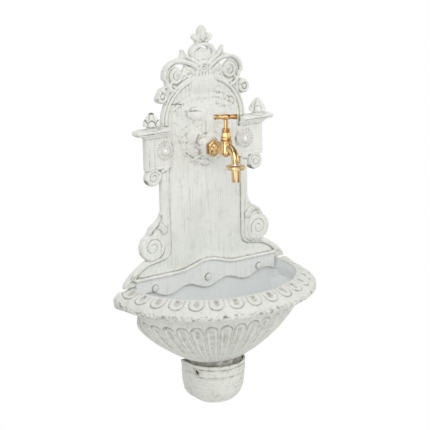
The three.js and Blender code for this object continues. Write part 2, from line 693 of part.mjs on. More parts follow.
// Lion mask: rings around the middle of the face, carved to the forms above, with locks at the edge.
function lionMask() {
  const forms = maskForms();
  const centre = MASK_CENTRE_HEIGHT;
  const columns = MANE_LOCKS * 2;
  const shares = [0.12, 0.24, 0.36, 0.48, 0.6, 0.72, 0.84, 0.94, 1];
  const positions = [0, -Math.max(...forms.map((form) => formDepth(form, 0, centre))), centre];
  shares.forEach((share) => {
    for (let k = 0; k < columns; k += 1) {
      const angle = (2 * Math.PI * k) / columns;
      const lock = k % 2 === 0 ? 1 : 1 - MANE_NOTCH * Math.max(0, share - MANE_START) / (1 - MANE_START);
      const x = MASK_HALF_WIDTH * share * lock * Math.cos(angle);
      const z = centre + MASK_HALF_HEIGHT * share * lock * Math.sin(angle);
      const carved = Math.max(PANEL_DEPTH, ...forms.map((form) => formDepth(form, x, z)));
      const lockDepth = k % 2 === 0 && share > MANE_START ? MANE_LOCK_DEPTH : 0;
      positions.push(x, share === 1 ? -PANEL_DEPTH : -carved - lockDepth, z);
    }
  });
  const back = positions.length / 3;
  positions.push(0, -PANEL_DEPTH + WELD, centre);
  for (let k = 0; k < columns; k += 1) {
    const rim = 3 * (1 + (shares.length - 1) * columns + k);
    positions.push(positions[rim], -PANEL_DEPTH + WELD, positions[rim + 2]);
  }
  const index = [];
  for (let k = 0; k < columns; k += 1) {
    const next = (k + 1) % columns;
    index.push(0, 1 + k, 1 + next);
    for (let ring = 0; ring < shares.length - 1; ring += 1) {
      const inner = 1 + ring * columns;
      const outer = inner + columns;
      index.push(inner + k, outer + k, outer + next, inner + k, outer + next, inner + next);
    }
    const outer = 1 + (shares.length - 1) * columns;
    index.push(outer + k, back + 1 + k, back + 1 + next, outer + k, back + 1 + next, outer + next);
    index.push(back, back + 1 + next, back + 1 + k);
  }
  const geometry = new THREE.BufferGeometry();
  geometry.setAttribute('position', new THREE.Float32BufferAttribute(positions, 3));
  geometry.setIndex(index);
  const mouth = roundPin(MOUTH_RADIUS, PANEL_DEPTH - 2, MOUTH_DEPTH, 0, MOUTH_HEIGHT, 16);
  return toSolid(geometry).add(mouth);
}

function backplate() {
  const oneSide = joinAll([
    ...borderBead(), edgeMargin(), bigVolute(), shoulderLeaf(), pilasterBlock(), corniceWithBedMould(),
    rosette(), bracketCurl(), coneFinial(), crestScroll(), sideKnob(),
  ]);
  const whole = joinAll([
    mainPlate(), bothSides(oneSide), ...wavyLap(), bud(), cartouche(), medallionAndPlume(), lionMask(),
  ]);
  const reach = FOOT_HALF_WIDTH * 2;
  const behindWall = box([-reach, 0, 0], [reach, CORNICE_DEPTH * 2, CREST_TOP * 2]);
  const pocket = box(
    [-BACK_WALL_HALF_WIDTH - SEAT_GAP, -BACK_WALL - SEAT_GAP, 0],
    [BACK_WALL_HALF_WIDTH + SEAT_GAP, WELD, BACK_WALL_TOP + SEAT_GAP],
  );
  const screwHole = roundPin(SCREW_HOLE_RADIUS, -WELD, CORNICE_DEPTH * 2, ROSETTE_X, ROSETTE_HEIGHT, 10);
  const tapBore = roundPin(TAP_TAIL_RADIUS + SEAT_GAP, -WELD, MOUTH_DEPTH + 20, 0, MOUTH_HEIGHT, 16);
  const flangeSeat = roundPin(TAP_FLANGE_RADIUS + 2, MOUTH_DEPTH, MOUTH_DEPTH + 20, 0, MOUTH_HEIGHT, 16);
  return [behindWall, pocket, bothSides(screwHole), tapBore, flangeSeat, ...boltHoles()]
    .reduce((rest, cut) => rest.subtract(cut), whole);
}

function boltPlaces() {
  return [['left', -BOLT_X], ['middle', 0], ['right', BOLT_X]];
}

function boltHoles() {
  const radius = BOLT_SHANK_RADIUS + SEAT_GAP;
  return boltPlaces().map(([, x]) => roundPin(radius, -WELD, LIP_DEPTH, x, BOLT_HEIGHT, 8));
}

// Basin

// Shares of an even walk along a D-shaped line, with straight sides of one length and a half ellipse.
function dWalk(halfWidth, front, straight, columns) {
  const fine = 400;
  const curve = front - straight;
  const points = [[halfWidth, 0]];
  for (let i = 0; i <= fine; i += 1) {
    const angle = (Math.PI * i) / fine;
    points.push([halfWidth * Math.cos(angle), straight + curve * Math.sin(angle)]);
  }
  points.push([-halfWidth, 0]);
  const lengths = [0];
  for (let i = 1; i < points.length; i += 1) {
    const step = Math.hypot(points[i][0] - points[i - 1][0], points[i][1] - points[i - 1][1]);
    lengths.push(lengths[i - 1] + step);
  }
  const total = lengths[lengths.length - 1];
  return Array.from({ length: columns + 1 }, (_, k) => {
    const wanted = (total * k) / columns;
    const i = Math.max(1, lengths.findIndex((value) => value >= wanted - 1e-9));
    const share = (wanted - lengths[i - 1]) / (lengths[i] - lengths[i - 1]);
    if (i === 1) return { side: 1, share };
    if (i === points.length - 1) return { side: -1, share };
    return { side: 0, angle: (Math.PI * (i - 2 + share)) / fine };
  });
}

// The place on a D-shaped line that a step of the walk stands for, as [x, depth].
function dPoint(step, halfWidth, front, straight) {
  if (step.side === 1) return [halfWidth, straight * step.share];
  if (step.side === -1) return [-halfWidth, straight * (1 - step.share)];
  return [halfWidth * Math.cos(step.angle), straight + (front - straight) * Math.sin(step.angle)];
}

// A closed solid through D-shaped rings of equal point count, from the lowest to the highest.
function loft(rings) {
  const count = rings[0].length;
  const positions = rings.flat(2);
  const index = [];
  for (let level = 0; level < rings.length - 1; level += 1) {
    for (let k = 0; k < count; k += 1) {
      const next = (k + 1) % count;
      const a = level * count + k;
      const b = level * count + next;
      index.push(a, b, a + count, b, b + count, a + count);
    }
  }
  const last = rings.length - 1;
  for (const [ring, base, flip] of [[rings[0], 0, true], [rings[last], last * count, false]]) {
    const centre = positions.length / 3;
    positions.push(0, ring.reduce((sum, p) => sum + p[1], 0) / count, ring[0][2]);
    for (let k = 0; k < count; k += 1) {
      const next = (k + 1) % count;
      if (flip) index.push(centre, base + next, base + k);
      else index.push(centre, base + k, base + next);
    }
  }
  const geometry = new THREE.BufferGeometry();
  geometry.setAttribute('position', new THREE.Float32BufferAttribute(positions, 3));
  geometry.setIndex(index);
  return toSolid(geometry);
}

// One ring of a loft: level holds halfWidth, front, straight, z and optionally relief per column.
function dRing(walk, level) {
  return walk.map((step, column) => {
    const relief = level.relief ? level.relief(column) : 0;
    const [x, depth] = dPoint(step, level.halfWidth + relief, level.front + relief, level.straight);
    return [-x, -depth, level.z];
  });
}

// Half width and front reach of the bowl's outside for a height share of 0 at the neck to 1 at the top.
function bowlSize(share) {
  const swell = (1 - (1 - share) ** BOWL_FULLNESS) ** (1 / BOWL_FULLNESS);
  const bottomFront = CUP_STRAIGHT + BOWL_BOTTOM_RADIUS;
  return {
    halfWidth: BOWL_BOTTOM_RADIUS + (BOWL_HALF_WIDTH - BOWL_BOTTOM_RADIUS) * swell,
    front: bottomFront + (BOWL_FRONT - bottomFront) * swell,
    straight: CUP_STRAIGHT + (RIM_STRAIGHT - CUP_STRAIGHT) * swell,
    z: BOWL_BOTTOM + (BOWL_TOP - BOWL_BOTTOM) * share,
  };
}

// Relief of flutes and rim lobes: every second column stands back.
function lobeRelief(column, strength) {
  return column % 2 === 0 ? -strength : strength;
}

function bowlOutside() {
  const walk = dWalk(BOWL_HALF_WIDTH, BOWL_FRONT, RIM_STRAIGHT, FLUTES * 2);
  const fluteTop = 1 - BAND_HEIGHT / (BOWL_TOP - BOWL_BOTTOM);
  const shares = [0, 0.1, 0.3, 0.6, fluteTop, fluteTop + 0.03, 1];
  const rings = shares.map((share) => {
    const strength = share < fluteTop + 0.01 ? FLUTE_RELIEF * Math.min(1, 0.35 + share) : 0;
    return dRing(walk, { ...bowlSize(share), relief: (column) => lobeRelief(column, strength) });
  });
  const top = bowlSize(1);
  rings.push(dRing(walk, { ...top, z: BOWL_TOP + 6 }));
  return loft(rings);
}

function rimOutside() {
  const walk = dWalk(RIM_HALF_WIDTH, RIM_FRONT, RIM_STRAIGHT, RIM_LOBES * 2);
  const reach = RIM_HALF_WIDTH - RIM_INNER_HALF_WIDTH;
  const level = (share, z, strength = 0) => ({
    halfWidth: RIM_INNER_HALF_WIDTH + reach * share,
    front: RIM_INNER_FRONT + (RIM_FRONT - RIM_INNER_FRONT) * share,
    straight: RIM_STRAIGHT,
    z,
    relief: (column) => lobeRelief(column, strength),
  });
  const beadHeight = RIM_TOP - RIM_BEAD_DROP;
  return loft([
    dRing(walk, level(0.4, BOWL_TOP)),
    dRing(walk, level(0.88, beadHeight - 9)),
    dRing(walk, level(1, beadHeight - 3)),
    dRing(walk, level(0.97, beadHeight + 3)),
    dRing(walk, level(0.8, RIM_TOP - RIM_BEAD_DROP * 0.6, RIM_LOBE_RELIEF)),
    dRing(walk, level(0.55, RIM_TOP - RIM_BEAD_DROP * 0.28, RIM_LOBE_RELIEF)),
    dRing(walk, level(0.28, RIM_TOP - RIM_BEAD_DROP * 0.08)),
    dRing(walk, level(0.08, RIM_TOP)),
  ]);
}

function bowlInside() {
  const walk = dWalk(BOWL_HALF_WIDTH, BOWL_FRONT, RIM_STRAIGHT, 22);
  const shares = [0.05, 0.2, 0.45, 1];
  const inner = (size, z) => ({
    halfWidth: size.halfWidth - BOWL_WALL,
    front: size.front - BOWL_WALL,
    straight: size.straight,
    z,
  });
  const rings = shares.map((share) => {
    const size = bowlSize(share);
    return dRing(walk, inner(size, size.z + BOWL_WALL * (1 - share) * 0.8));
  });
  const mouth = { halfWidth: RIM_INNER_HALF_WIDTH, front: RIM_INNER_FRONT, straight: RIM_STRAIGHT };
  rings.push(dRing(walk, { ...mouth, z: RIM_TOP - 4 }), dRing(walk, { ...mouth, z: RIM_TOP + WELD }));
  const behind = box([-RIM_HALF_WIDTH, -BACK_WALL, 0], [RIM_HALF_WIDTH, WELD, BACK_WALL_TOP + WELD]);
  return loft(rings).subtract(behind);
}

// The D-shaped section that the spigot and the cup share, at a radius and a height.
function cupSection(radius, z) {
  return { halfWidth: radius, front: CUP_STRAIGHT + radius, straight: CUP_STRAIGHT, z };
}

function spigot() {
  const radius = CUP_RADIUS - CUP_LIP_REACH - CUP_WALL - CUP_CLEARANCE;
  const walk = dWalk(radius, CUP_STRAIGHT + radius, CUP_STRAIGHT, 18);
  const ring = (size, z) => dRing(walk, cupSection(size, z));
  const outer = loft([ring(radius, SPIGOT_BOTTOM), ring(radius, SPIGOT_TOP)]);
  const inner = radius - CUP_WALL;
  const inside = loft([ring(inner, SPIGOT_BOTTOM - WELD), ring(inner, BOWL_BOTTOM - WELD)]);
  const clearOfCup = box([-CUP_RADIUS, -CUP_WALL - SEAT_GAP, 0], [CUP_RADIUS, WELD, CUP_TOP + SEAT_GAP]);
  const insideBack = box([-CUP_RADIUS, -2 * CUP_WALL - SEAT_GAP, 0], [CUP_RADIUS, WELD, BOWL_BOTTOM]);
  return outer.subtract(inside.subtract(insideBack)).subtract(clearOfCup);
}

function basin() {
  const wallTop = [[-1, BOWL_TOP], [1, BOWL_TOP], [1, BACK_WALL_TOP], [-1, BACK_WALL_TOP]];
  const backWall = slab(polygon(wallTop.map(([side, z]) => [side * BACK_WALL_HALF_WIDTH, z])), 0, BACK_WALL);
  const drain = uprightPin(DRAIN_RADIUS, 0, RIM_TOP, CUP_STRAIGHT + 6, 14);
  const behindWall = box([-RIM_HALF_WIDTH * 2, 0, 0], [RIM_HALF_WIDTH * 2, RIM_FRONT, CREST_TOP]);
  const shell = joinAll([bowlOutside(), rimOutside()]).subtract(bowlInside());
  return [drain, behindWall, lapClearance(), ...boltHoles()]
    .reduce((rest, cut) => rest.subtract(cut), joinAll([shell, spigot(), backWall]));
}

// Room for the backplate's lap where it dips inside the rim.
function lapClearance() {
  return box(
    [-LAP_HALF_WIDTH - 2, -BACK_WALL - LAP_THICKNESS - 2 * SEAT_GAP, LAP_LOW - WELD],
    [LAP_HALF_WIDTH + 2, -BACK_WALL, BACK_WALL_TOP + WELD],
  );
}

// Drain cup

function cupLevels() {
  const body = CUP_RADIUS - CUP_LIP_REACH;
  return [
    [body * 0.22, 0], [body * 0.48, 4.5], [body * 0.7, 13], [body * 0.89, 27], [body * 0.98, 48],
    [body, CUP_TOP - CUP_LIP_HEIGHT - 1.5],
  ];
}

function cupSolid(levels) {
  const walk = dWalk(CUP_RADIUS, CUP_STRAIGHT + CUP_RADIUS, CUP_STRAIGHT, 17);
  return loft(levels.map(([radius, z]) => dRing(walk, cupSection(radius, z))));
}

function drainCup() {
  const lip = [[CUP_RADIUS, CUP_TOP - CUP_LIP_HEIGHT], [CUP_RADIUS, CUP_TOP]];
  const outside = cupSolid([...cupLevels(), ...lip]);
  const inner = CUP_RADIUS - CUP_WALL;
  const cavity = cupSolid([
    ...cupLevels().map(([radius, z]) => [Math.max(radius - CUP_WALL, CUP_WALL), z + CUP_WALL]),
    [inner, CUP_TOP + WELD],
  ]).subtract(box([-CUP_RADIUS, -CUP_WALL, 0], [CUP_RADIUS, WELD, CUP_TOP + 5]));
  const raised = cupSolid([
    [CUP_RADIUS - CUP_LIP_REACH + CUP_BAND_REACH, CUP_BAND_BOTTOM],
    [CUP_RADIUS - CUP_LIP_REACH + CUP_BAND_REACH, CUP_BAND_TOP],
  ]);
  const bandBack = CUP_STRAIGHT + CUP_RADIUS * Math.cos(degrees(CUP_HOLE_ANGLE));
  const raisedBand = raised.subtract(box([-2 * CUP_RADIUS, -bandBack, 0], [2 * CUP_RADIUS, WELD, CUP_TOP]));
  const holeDepth = bandBack - 2;
  const hole = new THREE.CylinderGeometry(CUP_HOLE_RADIUS, CUP_HOLE_RADIUS, 3 * CUP_RADIUS, 10);
  hole.rotateZ(Math.PI / 2);
  hole.translate(0, -holeDepth, (CUP_BAND_BOTTOM + CUP_BAND_TOP) / 2);
  return outside.add(raisedBand).subtract(cavity).subtract(toSolid(hole));
}

// Flange bolt with a domed head
function flangeBolt(x) {
  const seat = BACK_WALL + SEAT_GAP + LAP_THICKNESS + SEAT_GAP;
  return turnedOutward([
    [0, WELD], [BOLT_SHANK_RADIUS, WELD], [BOLT_SHANK_RADIUS, seat], [BOLT_HEAD_RADIUS, seat],
    [BOLT_HEAD_RADIUS * 0.9, seat + BOLT_HEAD_DEPTH * 0.5],
    [BOLT_HEAD_RADIUS * 0.5, seat + BOLT_HEAD_DEPTH], [0, seat + BOLT_HEAD_DEPTH],
  ], x, BOLT_HEIGHT, 8);
}

// Tap

const flangeFront = MOUTH_DEPTH + SEAT_GAP + TAP_FLANGE_THICKNESS;

function tapWallFlange() {
  const hexagon = turnedOutward([
    [0, MOUTH_DEPTH + SEAT_GAP], [TAP_FLANGE_RADIUS, MOUTH_DEPTH + SEAT_GAP],
    [TAP_FLANGE_RADIUS, flangeFront - 2.5], [TAP_FLANGE_RADIUS * 0.85, flangeFront], [0, flangeFront],
  ], 0, MOUTH_HEIGHT, 6);
  return hexagon.subtract(roundPin(TAP_TAIL_RADIUS + SEAT_GAP, 0, flangeFront + WELD, 0, MOUTH_HEIGHT, 24));
}

// A round tube or rod along a smooth line given as [depth, height] on the centre plane.
function centreTube(line, radius, sides, steps) {
  const curve = new THREE.CatmullRomCurve3(line.map(([depth, z]) => new THREE.Vector3(0, -depth, z)));
  const section = new THREE.Shape();
  section.absarc(0, 0, radius, 0, 2 * Math.PI, false);
  return toSolid(new THREE.ExtrudeGeometry(section, {
    extrudePath: curve, steps, curveSegments: sides / 2, bevelEnabled: false,
  }));
}

function spoutLine() {
  return [
    [TAP_AXIS_DEPTH, MOUTH_HEIGHT + 7], [TAP_AXIS_DEPTH + 11, MOUTH_HEIGHT + 9],
    [OUTLET_DEPTH - 7, MOUTH_HEIGHT + 3], [OUTLET_DEPTH - 0.5, MOUTH_HEIGHT - 8],
    [OUTLET_DEPTH, HOSE_NUT_TOP + SEAT_GAP],
  ];
}

function tapBody() {
  const tail = turnedOutward([
    [0, WELD], [TAP_TAIL_RADIUS, WELD], [TAP_TAIL_RADIUS, flangeFront + 1],
    [TAP_NECK_RADIUS, flangeFront + 4], [TAP_NECK_RADIUS, TAP_AXIS_DEPTH], [0, TAP_AXIS_DEPTH],
  ], 0, MOUTH_HEIGHT, 14);
  const barrel = turned([
    [0, BARREL_BOTTOM], [BARREL_RADIUS * 0.6, BARREL_BOTTOM], [BARREL_RADIUS * 0.92, BARREL_BOTTOM + 3],
    [BARREL_RADIUS, BARREL_BOTTOM + 7], [BARREL_RADIUS, BARREL_TOP], [0, BARREL_TOP],
  ], 0, TAP_AXIS_DEPTH, 14);
  const spout = centreTube(spoutLine(), SPOUT_RADIUS, 8, 8);
  const collar = turned([
    [0, HOSE_NUT_TOP + SEAT_GAP], [SPOUT_RADIUS + 2.2, HOSE_NUT_TOP + SEAT_GAP],
    [SPOUT_RADIUS + 2.2, HOSE_NUT_TOP + 3], [0, HOSE_NUT_TOP + 3],
  ], 0, OUTLET_DEPTH, 14);
  const chamberBottom = BARREL_TOP - SPINDLE_INSERT + BONNET_HEIGHT * 0.2;
  const chamber = uprightPin(SPINDLE_RADIUS + 1, chamberBottom, BARREL_TOP + WELD, TAP_AXIS_DEPTH, 12);
  const bore = uprightPin(SPOUT_BORE, HOSE_NUT_TOP - 2, HOSE_NUT_TOP + 9, OUTLET_DEPTH, 12);
  return joinAll([tail, barrel, spout, collar]).subtract(chamber).subtract(bore);
}

const bonnetFoot = BARREL_TOP + SEAT_GAP;
const bonnetTop = bonnetFoot + BONNET_HEIGHT + PACKING_NUT_HEIGHT;

function tapBonnet() {
  const shoulder = bonnetFoot + BONNET_HEIGHT * 0.42;
  const neck = bonnetFoot + BONNET_HEIGHT;
  const lower = uprightPin(BONNET_RADIUS, bonnetFoot, shoulder, TAP_AXIS_DEPTH, 6);
  const upper = turned([
    [0, shoulder - WELD], [BONNET_RADIUS * 0.9, shoulder - WELD], [BONNET_RADIUS * 0.84, neck], [0, neck],
  ], 0, TAP_AXIS_DEPTH, 6);
  const packing = turned([
    [0, neck - WELD], [PACKING_NUT_RADIUS, neck - WELD], [PACKING_NUT_RADIUS, bonnetTop - 1.5],
    [PACKING_NUT_RADIUS - 1.2, bonnetTop], [0, bonnetTop],
  ], 0, TAP_AXIS_DEPTH, 12);
  const way = SPINDLE_RADIUS + SPINDLE_CLEARANCE;
  const bore = uprightPin(way, bonnetFoot - WELD, bonnetTop + WELD, TAP_AXIS_DEPTH, SPINDLE_SIDES);
  return joinAll([lower, upper, packing]).subtract(bore);
}

const spindleTop = bonnetTop + SPINDLE_REACH;

function tapSpindle() {
  const foot = BARREL_TOP - SPINDLE_INSERT / 2;
  return uprightPin(SPINDLE_RADIUS, foot, spindleTop, TAP_AXIS_DEPTH, SPINDLE_SIDES);
}

// T-handle: a waisted bar with a round hub that sits on the spindle's end.
function tapHandle() {
  const half = HANDLE_LENGTH / 2;
  const hub = HANDLE_RADIUS + 0.6;
  const profile = [
    [0, -half], [HANDLE_RADIUS - 0.8, -half], [HANDLE_RADIUS, -half + 1], [HANDLE_RADIUS, -half + 3.5],
    [HANDLE_WAIST_RADIUS, -half * 0.55], [HANDLE_WAIST_RADIUS, -hub - 1], [HANDLE_RADIUS, -hub + 1],
    [HANDLE_RADIUS, hub - 1], [HANDLE_WAIST_RADIUS, hub + 1], [HANDLE_WAIST_RADIUS, half * 0.55],
    [HANDLE_RADIUS, half - 3.5], [HANDLE_RADIUS, half - 1], [HANDLE_RADIUS - 0.8, half], [0, half],
  ];
  const geometry = new THREE.LatheGeometry(profile.map(([r, along]) => new THREE.Vector2(r, along)), 10);
  geometry.rotateZ(Math.PI / 2);
  geometry.rotateZ(degrees(HANDLE_ANGLE));
  geometry.translate(0, -TAP_AXIS_DEPTH, spindleTop + SEAT_GAP + HANDLE_RADIUS);
  return toSolid(geometry);
}

function hoseNut() {
  const bottom = HOSE_NUT_TOP - HOSE_NUT_THICKNESS;
  const outside = turned([
    [0, bottom], [HOSE_NUT_RADIUS - 1, bottom], [HOSE_NUT_RADIUS, bottom + 1],
    [HOSE_NUT_RADIUS, HOSE_NUT_TOP - 1], [HOSE_NUT_RADIUS - 1, HOSE_NUT_TOP], [0, HOSE_NUT_TOP],
  ], 0, OUTLET_DEPTH, HOSE_NUT_SIDES);
  return outside.subtract(
    uprightPin(NOZZLE_BORE, bottom - WELD, HOSE_NUT_TOP + WELD, OUTLET_DEPTH, NOZZLE_SIDES),
  );
}

function hoseNozzle() {
  const top = HOSE_NUT_TOP - HOSE_NUT_THICKNESS - SEAT_GAP;
  const outside = turned([
    [0, NOZZLE_BOTTOM], [NOZZLE_RADIUS - 1, NOZZLE_BOTTOM], [NOZZLE_RADIUS, NOZZLE_BOTTOM + 2],
    [NOZZLE_RADIUS, top], [0, top],
  ], 0, OUTLET_DEPTH, NOZZLE_SIDES);
  return outside.subtract(
    uprightPin(NOZZLE_BORE, NOZZLE_BOTTOM - WELD, top + WELD, OUTLET_DEPTH, NOZZLE_SIDES),
  );
}

// Assembly

const group = new THREE.Group();
group.position.z = -MOUNT_HEIGHT;

function place(name, solid, material) {
  const mesh = new THREE.Mesh(toGeometry(solid), material);
  mesh.name = name;
  group.add(mesh);
}

place('backplate', backplate(), castPaint);
place('basin', basin(), castPaint);
place('drain_cup', drainCup(), castPaint);
for (const [side, x] of boltPlaces()) place(`flange_bolt_${side}`, flangeBolt(x), boltPaint);
place('tap_wall_flange', tapWallFlange(), brass);
place('tap_body', tapBody(), brass);
place('tap_bonnet', tapBonnet(), brass);
place('tap_spindle', tapSpindle(), brass);
place('tap_handle', tapHandle(), brass);
place('hose_nut', hoseNut(), brass);
place('hose_nozzle', hoseNozzle(), brass);

export default group;
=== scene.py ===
"""Dressed model of a cast wall fountain: backplate with a lion mask, basin, drain cup and brass tap.

Drawing measures are millimetres: x across, depth in front of the wall, and height above the foot of
the drain cup. The frame is in metres, with the wall at y = 0 and the front towards -Y.
"""

import logging
import math
from dataclasses import dataclass
from enum import Enum

import bpy
import numpy as np
from mathutils import Matrix, Vector


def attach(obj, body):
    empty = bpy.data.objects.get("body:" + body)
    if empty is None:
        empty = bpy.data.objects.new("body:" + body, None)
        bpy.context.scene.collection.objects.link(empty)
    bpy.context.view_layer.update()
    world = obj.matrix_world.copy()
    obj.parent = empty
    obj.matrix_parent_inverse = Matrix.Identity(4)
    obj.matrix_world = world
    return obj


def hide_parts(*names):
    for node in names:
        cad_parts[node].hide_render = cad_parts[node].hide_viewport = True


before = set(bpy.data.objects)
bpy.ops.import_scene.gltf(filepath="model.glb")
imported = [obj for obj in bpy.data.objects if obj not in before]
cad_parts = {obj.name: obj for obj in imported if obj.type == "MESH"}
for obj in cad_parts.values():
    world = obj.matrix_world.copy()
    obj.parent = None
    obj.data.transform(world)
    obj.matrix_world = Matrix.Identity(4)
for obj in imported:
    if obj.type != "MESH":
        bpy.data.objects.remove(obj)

log = logging.getLogger("wall_fountain")

Piece = bpy.types.Object
Material = bpy.types.Material
Socket = bpy.types.NodeSocket
Grid = np.ndarray
Part = tuple[slice, slice]
Point = tuple[float, float]
Colour = tuple[float, float, float, float]

MM = 0.001
MOUNT_HEIGHT = 400.0
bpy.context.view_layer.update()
SCREEN_GAMMA = 2.2
TINY = 1e-9
FAR_BEHIND = -99.0
LATTICE = 64
MERGE_DISTANCE = 1e-6
WORST_FACE = 1e-7


class Slot(Enum):
    """Finish slots of the pieces."""

    CAST_PAINT = "cast_paint"
    BOLT_PAINT = "bolt_paint"
    BRASS = "brass"


class Body(Enum):
    """Moving bodies of the fountain."""

    FOUNTAIN = "fountain"
    SPINDLE = "spindle"
    HANDLE = "handle"


def srgb(red: float, green: float, blue: float) -> Colour:
    """Turns a screen colour of 0 to 255 into a linear colour with full alpha."""
    return (*((value / 255) ** SCREEN_GAMMA for value in (red, green, blue)), 1.0)


def in_frame(x: Grid, depth: Grid, height: Grid) -> Grid:
    """Turns drawing measures into places in metres, with x, y and z along the last axis."""
    x, depth, height = np.broadcast_arrays(x, depth, height)
    return np.stack([x * MM, -depth * MM, (height - MOUNT_HEIGHT) * MM], axis=-1)


def arc_line(
    cx: float, cz: float, radius_x: float, radius_z: float, start: float, end: float, steps: int
) -> Grid:
    """Points along an elliptic arc.

    Args:
        cx: Centre across.
        cz: Centre height.
        radius_x: Radius across.
        radius_z: Radius upwards.
        start: First angle in degrees.
        end: Last angle in degrees.
        steps: Number of steps.

    Returns:
        Points as rows of x and height.
    """
    angle = np.radians(np.linspace(start, end, steps + 1))
    return np.stack([cx + radius_x * np.cos(angle), cz + radius_z * np.sin(angle)], axis=1)


def spiral_line(
    cx: float, cz: float, outer: float, inner: float, start: float, turns: float, steps: int
) -> Grid:
    """Points along a spiral that winds inwards.

    Args:
        cx: Centre across.
        cz: Centre height.
        outer: First radius.
        inner: Last radius.
        start: First angle in degrees.
        turns: Number of turns, negative for clockwise.
        steps: Number of steps.

    Returns:
        Points as rows of x and height.
    """
    radius = np.linspace(outer, inner, steps + 1)
    angle = np.radians(np.linspace(start, start + 360 * turns, steps + 1))
    return np.stack([cx + radius * np.cos(angle), cz + radius * np.sin(angle)], axis=1)


def smooth_line(points: list[Point], steps: int = 16) -> Grid:
    """Points along a smooth line through given points.

    Args:
        points: Places that the line passes through.
        steps: Number of steps.

    Returns:
        Points as rows of x and height.
    """
    knots = np.array(points, float)
    at = np.linspace(0, len(knots) - 1, steps + 1)
    first = np.minimum(at.astype(int), len(knots) - 2)
    share = (at - first)[:, None]
    before, after = knots[np.maximum(first - 1, 0)], knots[np.minimum(first + 2, len(knots) - 1)]
    start, end = knots[first], knots[first + 1]
    slope_in, slope_out = (end - before) / 2, (after - start) / 2
    cubic = 2 * start - 2 * end + slope_in + slope_out
    square = -3 * start + 3 * end - 2 * slope_in - slope_out
    return ((cubic * share + square) * share + slope_in) * share + start


def bump(distance: Grid, width: float) -> Grid:
    """A bell of height 1 that has nearly fallen away at a width."""
    return np.exp(-((distance / width) ** 2))


def eased(value: Grid) -> Grid:
    """A soft step from 0 to 1 over values of 0 to 1."""
    value = np.clip(value, 0, 1)
    return value * value * (3 - 2 * value)


def rough(x: Grid, z: Grid, size: float, seed: int) -> Grid:
    """Smooth random unevenness between -1 and 1.

    Args:
        x: Places across.
        z: Places upwards.
        size: Size of the lumps in the same unit.
        seed: Number that picks the pattern.

    Returns:
        The unevenness at each place.
    """
    lattice = np.random.default_rng(seed).uniform(-1, 1, (LATTICE, LATTICE))
    column, row = np.floor(x / size).astype(int), np.floor(z / size).astype(int)
    across, up = eased(x / size - column), eased(z / size - row)
    low, high = (
        lattice[line % LATTICE, column % LATTICE] * (1 - across)
        + lattice[line % LATTICE, (column + 1) % LATTICE] * across
        for line in (row, row + 1)
    )
    return low * (1 - up) + high * up


def to_stretch(x: Grid, z: Grid, start: Point, end: Point) -> tuple[Grid, Grid]:
    """Squared distance to a straight stretch, and how far along it the nearest place is.

    Args:
        x: Places across.
        z: Heights.
        start: One end of the stretch.
        end: The other end.

    Returns:
        The squared distances, and shares of the stretch between 0 and 1.
    """
    (ax, az), (dx, dz) = start, (end[0] - start[0], end[1] - start[1])
    share = np.clip(((x - ax) * dx + (z - az) * dz) / max(dx * dx + dz * dz, TINY), 0, 1)
    return (x - ax - share * dx) ** 2 + (z - az - share * dz) ** 2, share


def signed_distance(x: Grid, z: Grid, outline: Grid) -> Grid:
    """Distance to a closed outline, negative inside it.

    Args:
        x: Places across.
        z: Heights.
        outline: Corner points as rows of x and height.

    Returns:
        The signed distance at each place.
    """
    nearest = np.full(x.shape, np.inf)
    inside = np.zeros(x.shape, bool)
    for start, end in zip(outline, np.roll(outline, -1, axis=0)):
        nearest = np.minimum(nearest, to_stretch(x, z, start, end)[0])
        (ax, az), (dx, dz) = start, end - start
        if abs(dz) > TINY:
            inside ^= ((az > z) != (end[1] > z)) & (x < dx * (z - az) / dz + ax)
    return np.where(inside, -1.0, 1.0) * np.sqrt(nearest)


def line_distance(x: Grid, z: Grid, line: Grid) -> tuple[Grid, Grid]:
    """Distance to a line, and the share of its length at the nearest place.

    Args:
        x: Places across.
        z: Heights.
        line: Points of the line.

    Returns:
        The distances and the shares.
    """
    nearest = np.full(x.shape, np.inf)
    share = np.zeros(x.shape)
    lengths = np.hypot(*np.diff(line, axis=0).T)
    covered = np.concatenate([[0], np.cumsum(lengths)])
    for start, end, length, before in zip(line, line[1:], lengths, covered):
        distance, at = to_stretch(x, z, start, end)
        share = np.where(distance < nearest, (before + at * length) / covered[-1], share)
        nearest = np.minimum(nearest, distance)
    return np.sqrt(nearest), share


def blurred(values: Grid, reach: int) -> Grid:
    """Averages a grid of values over squares, twice.

    Args:
        values: Grid of values.
        reach: Half the side of the square in steps.

    Returns:
        The averaged grid.
    """
    width = 2 * reach + 1
    for axis in (0, 1, 0, 1):
        pad = [(reach + 1, reach) if side == axis else (0, 0) for side in (0, 1)]
        total = np.cumsum(np.pad(values, pad, mode="edge"), axis=axis)
        high = np.take(total, range(width, total.shape[axis]), axis=axis)
        low = np.take(total, range(0, total.shape[axis] - width), axis=axis)
        values = (high - low) / width
    return values


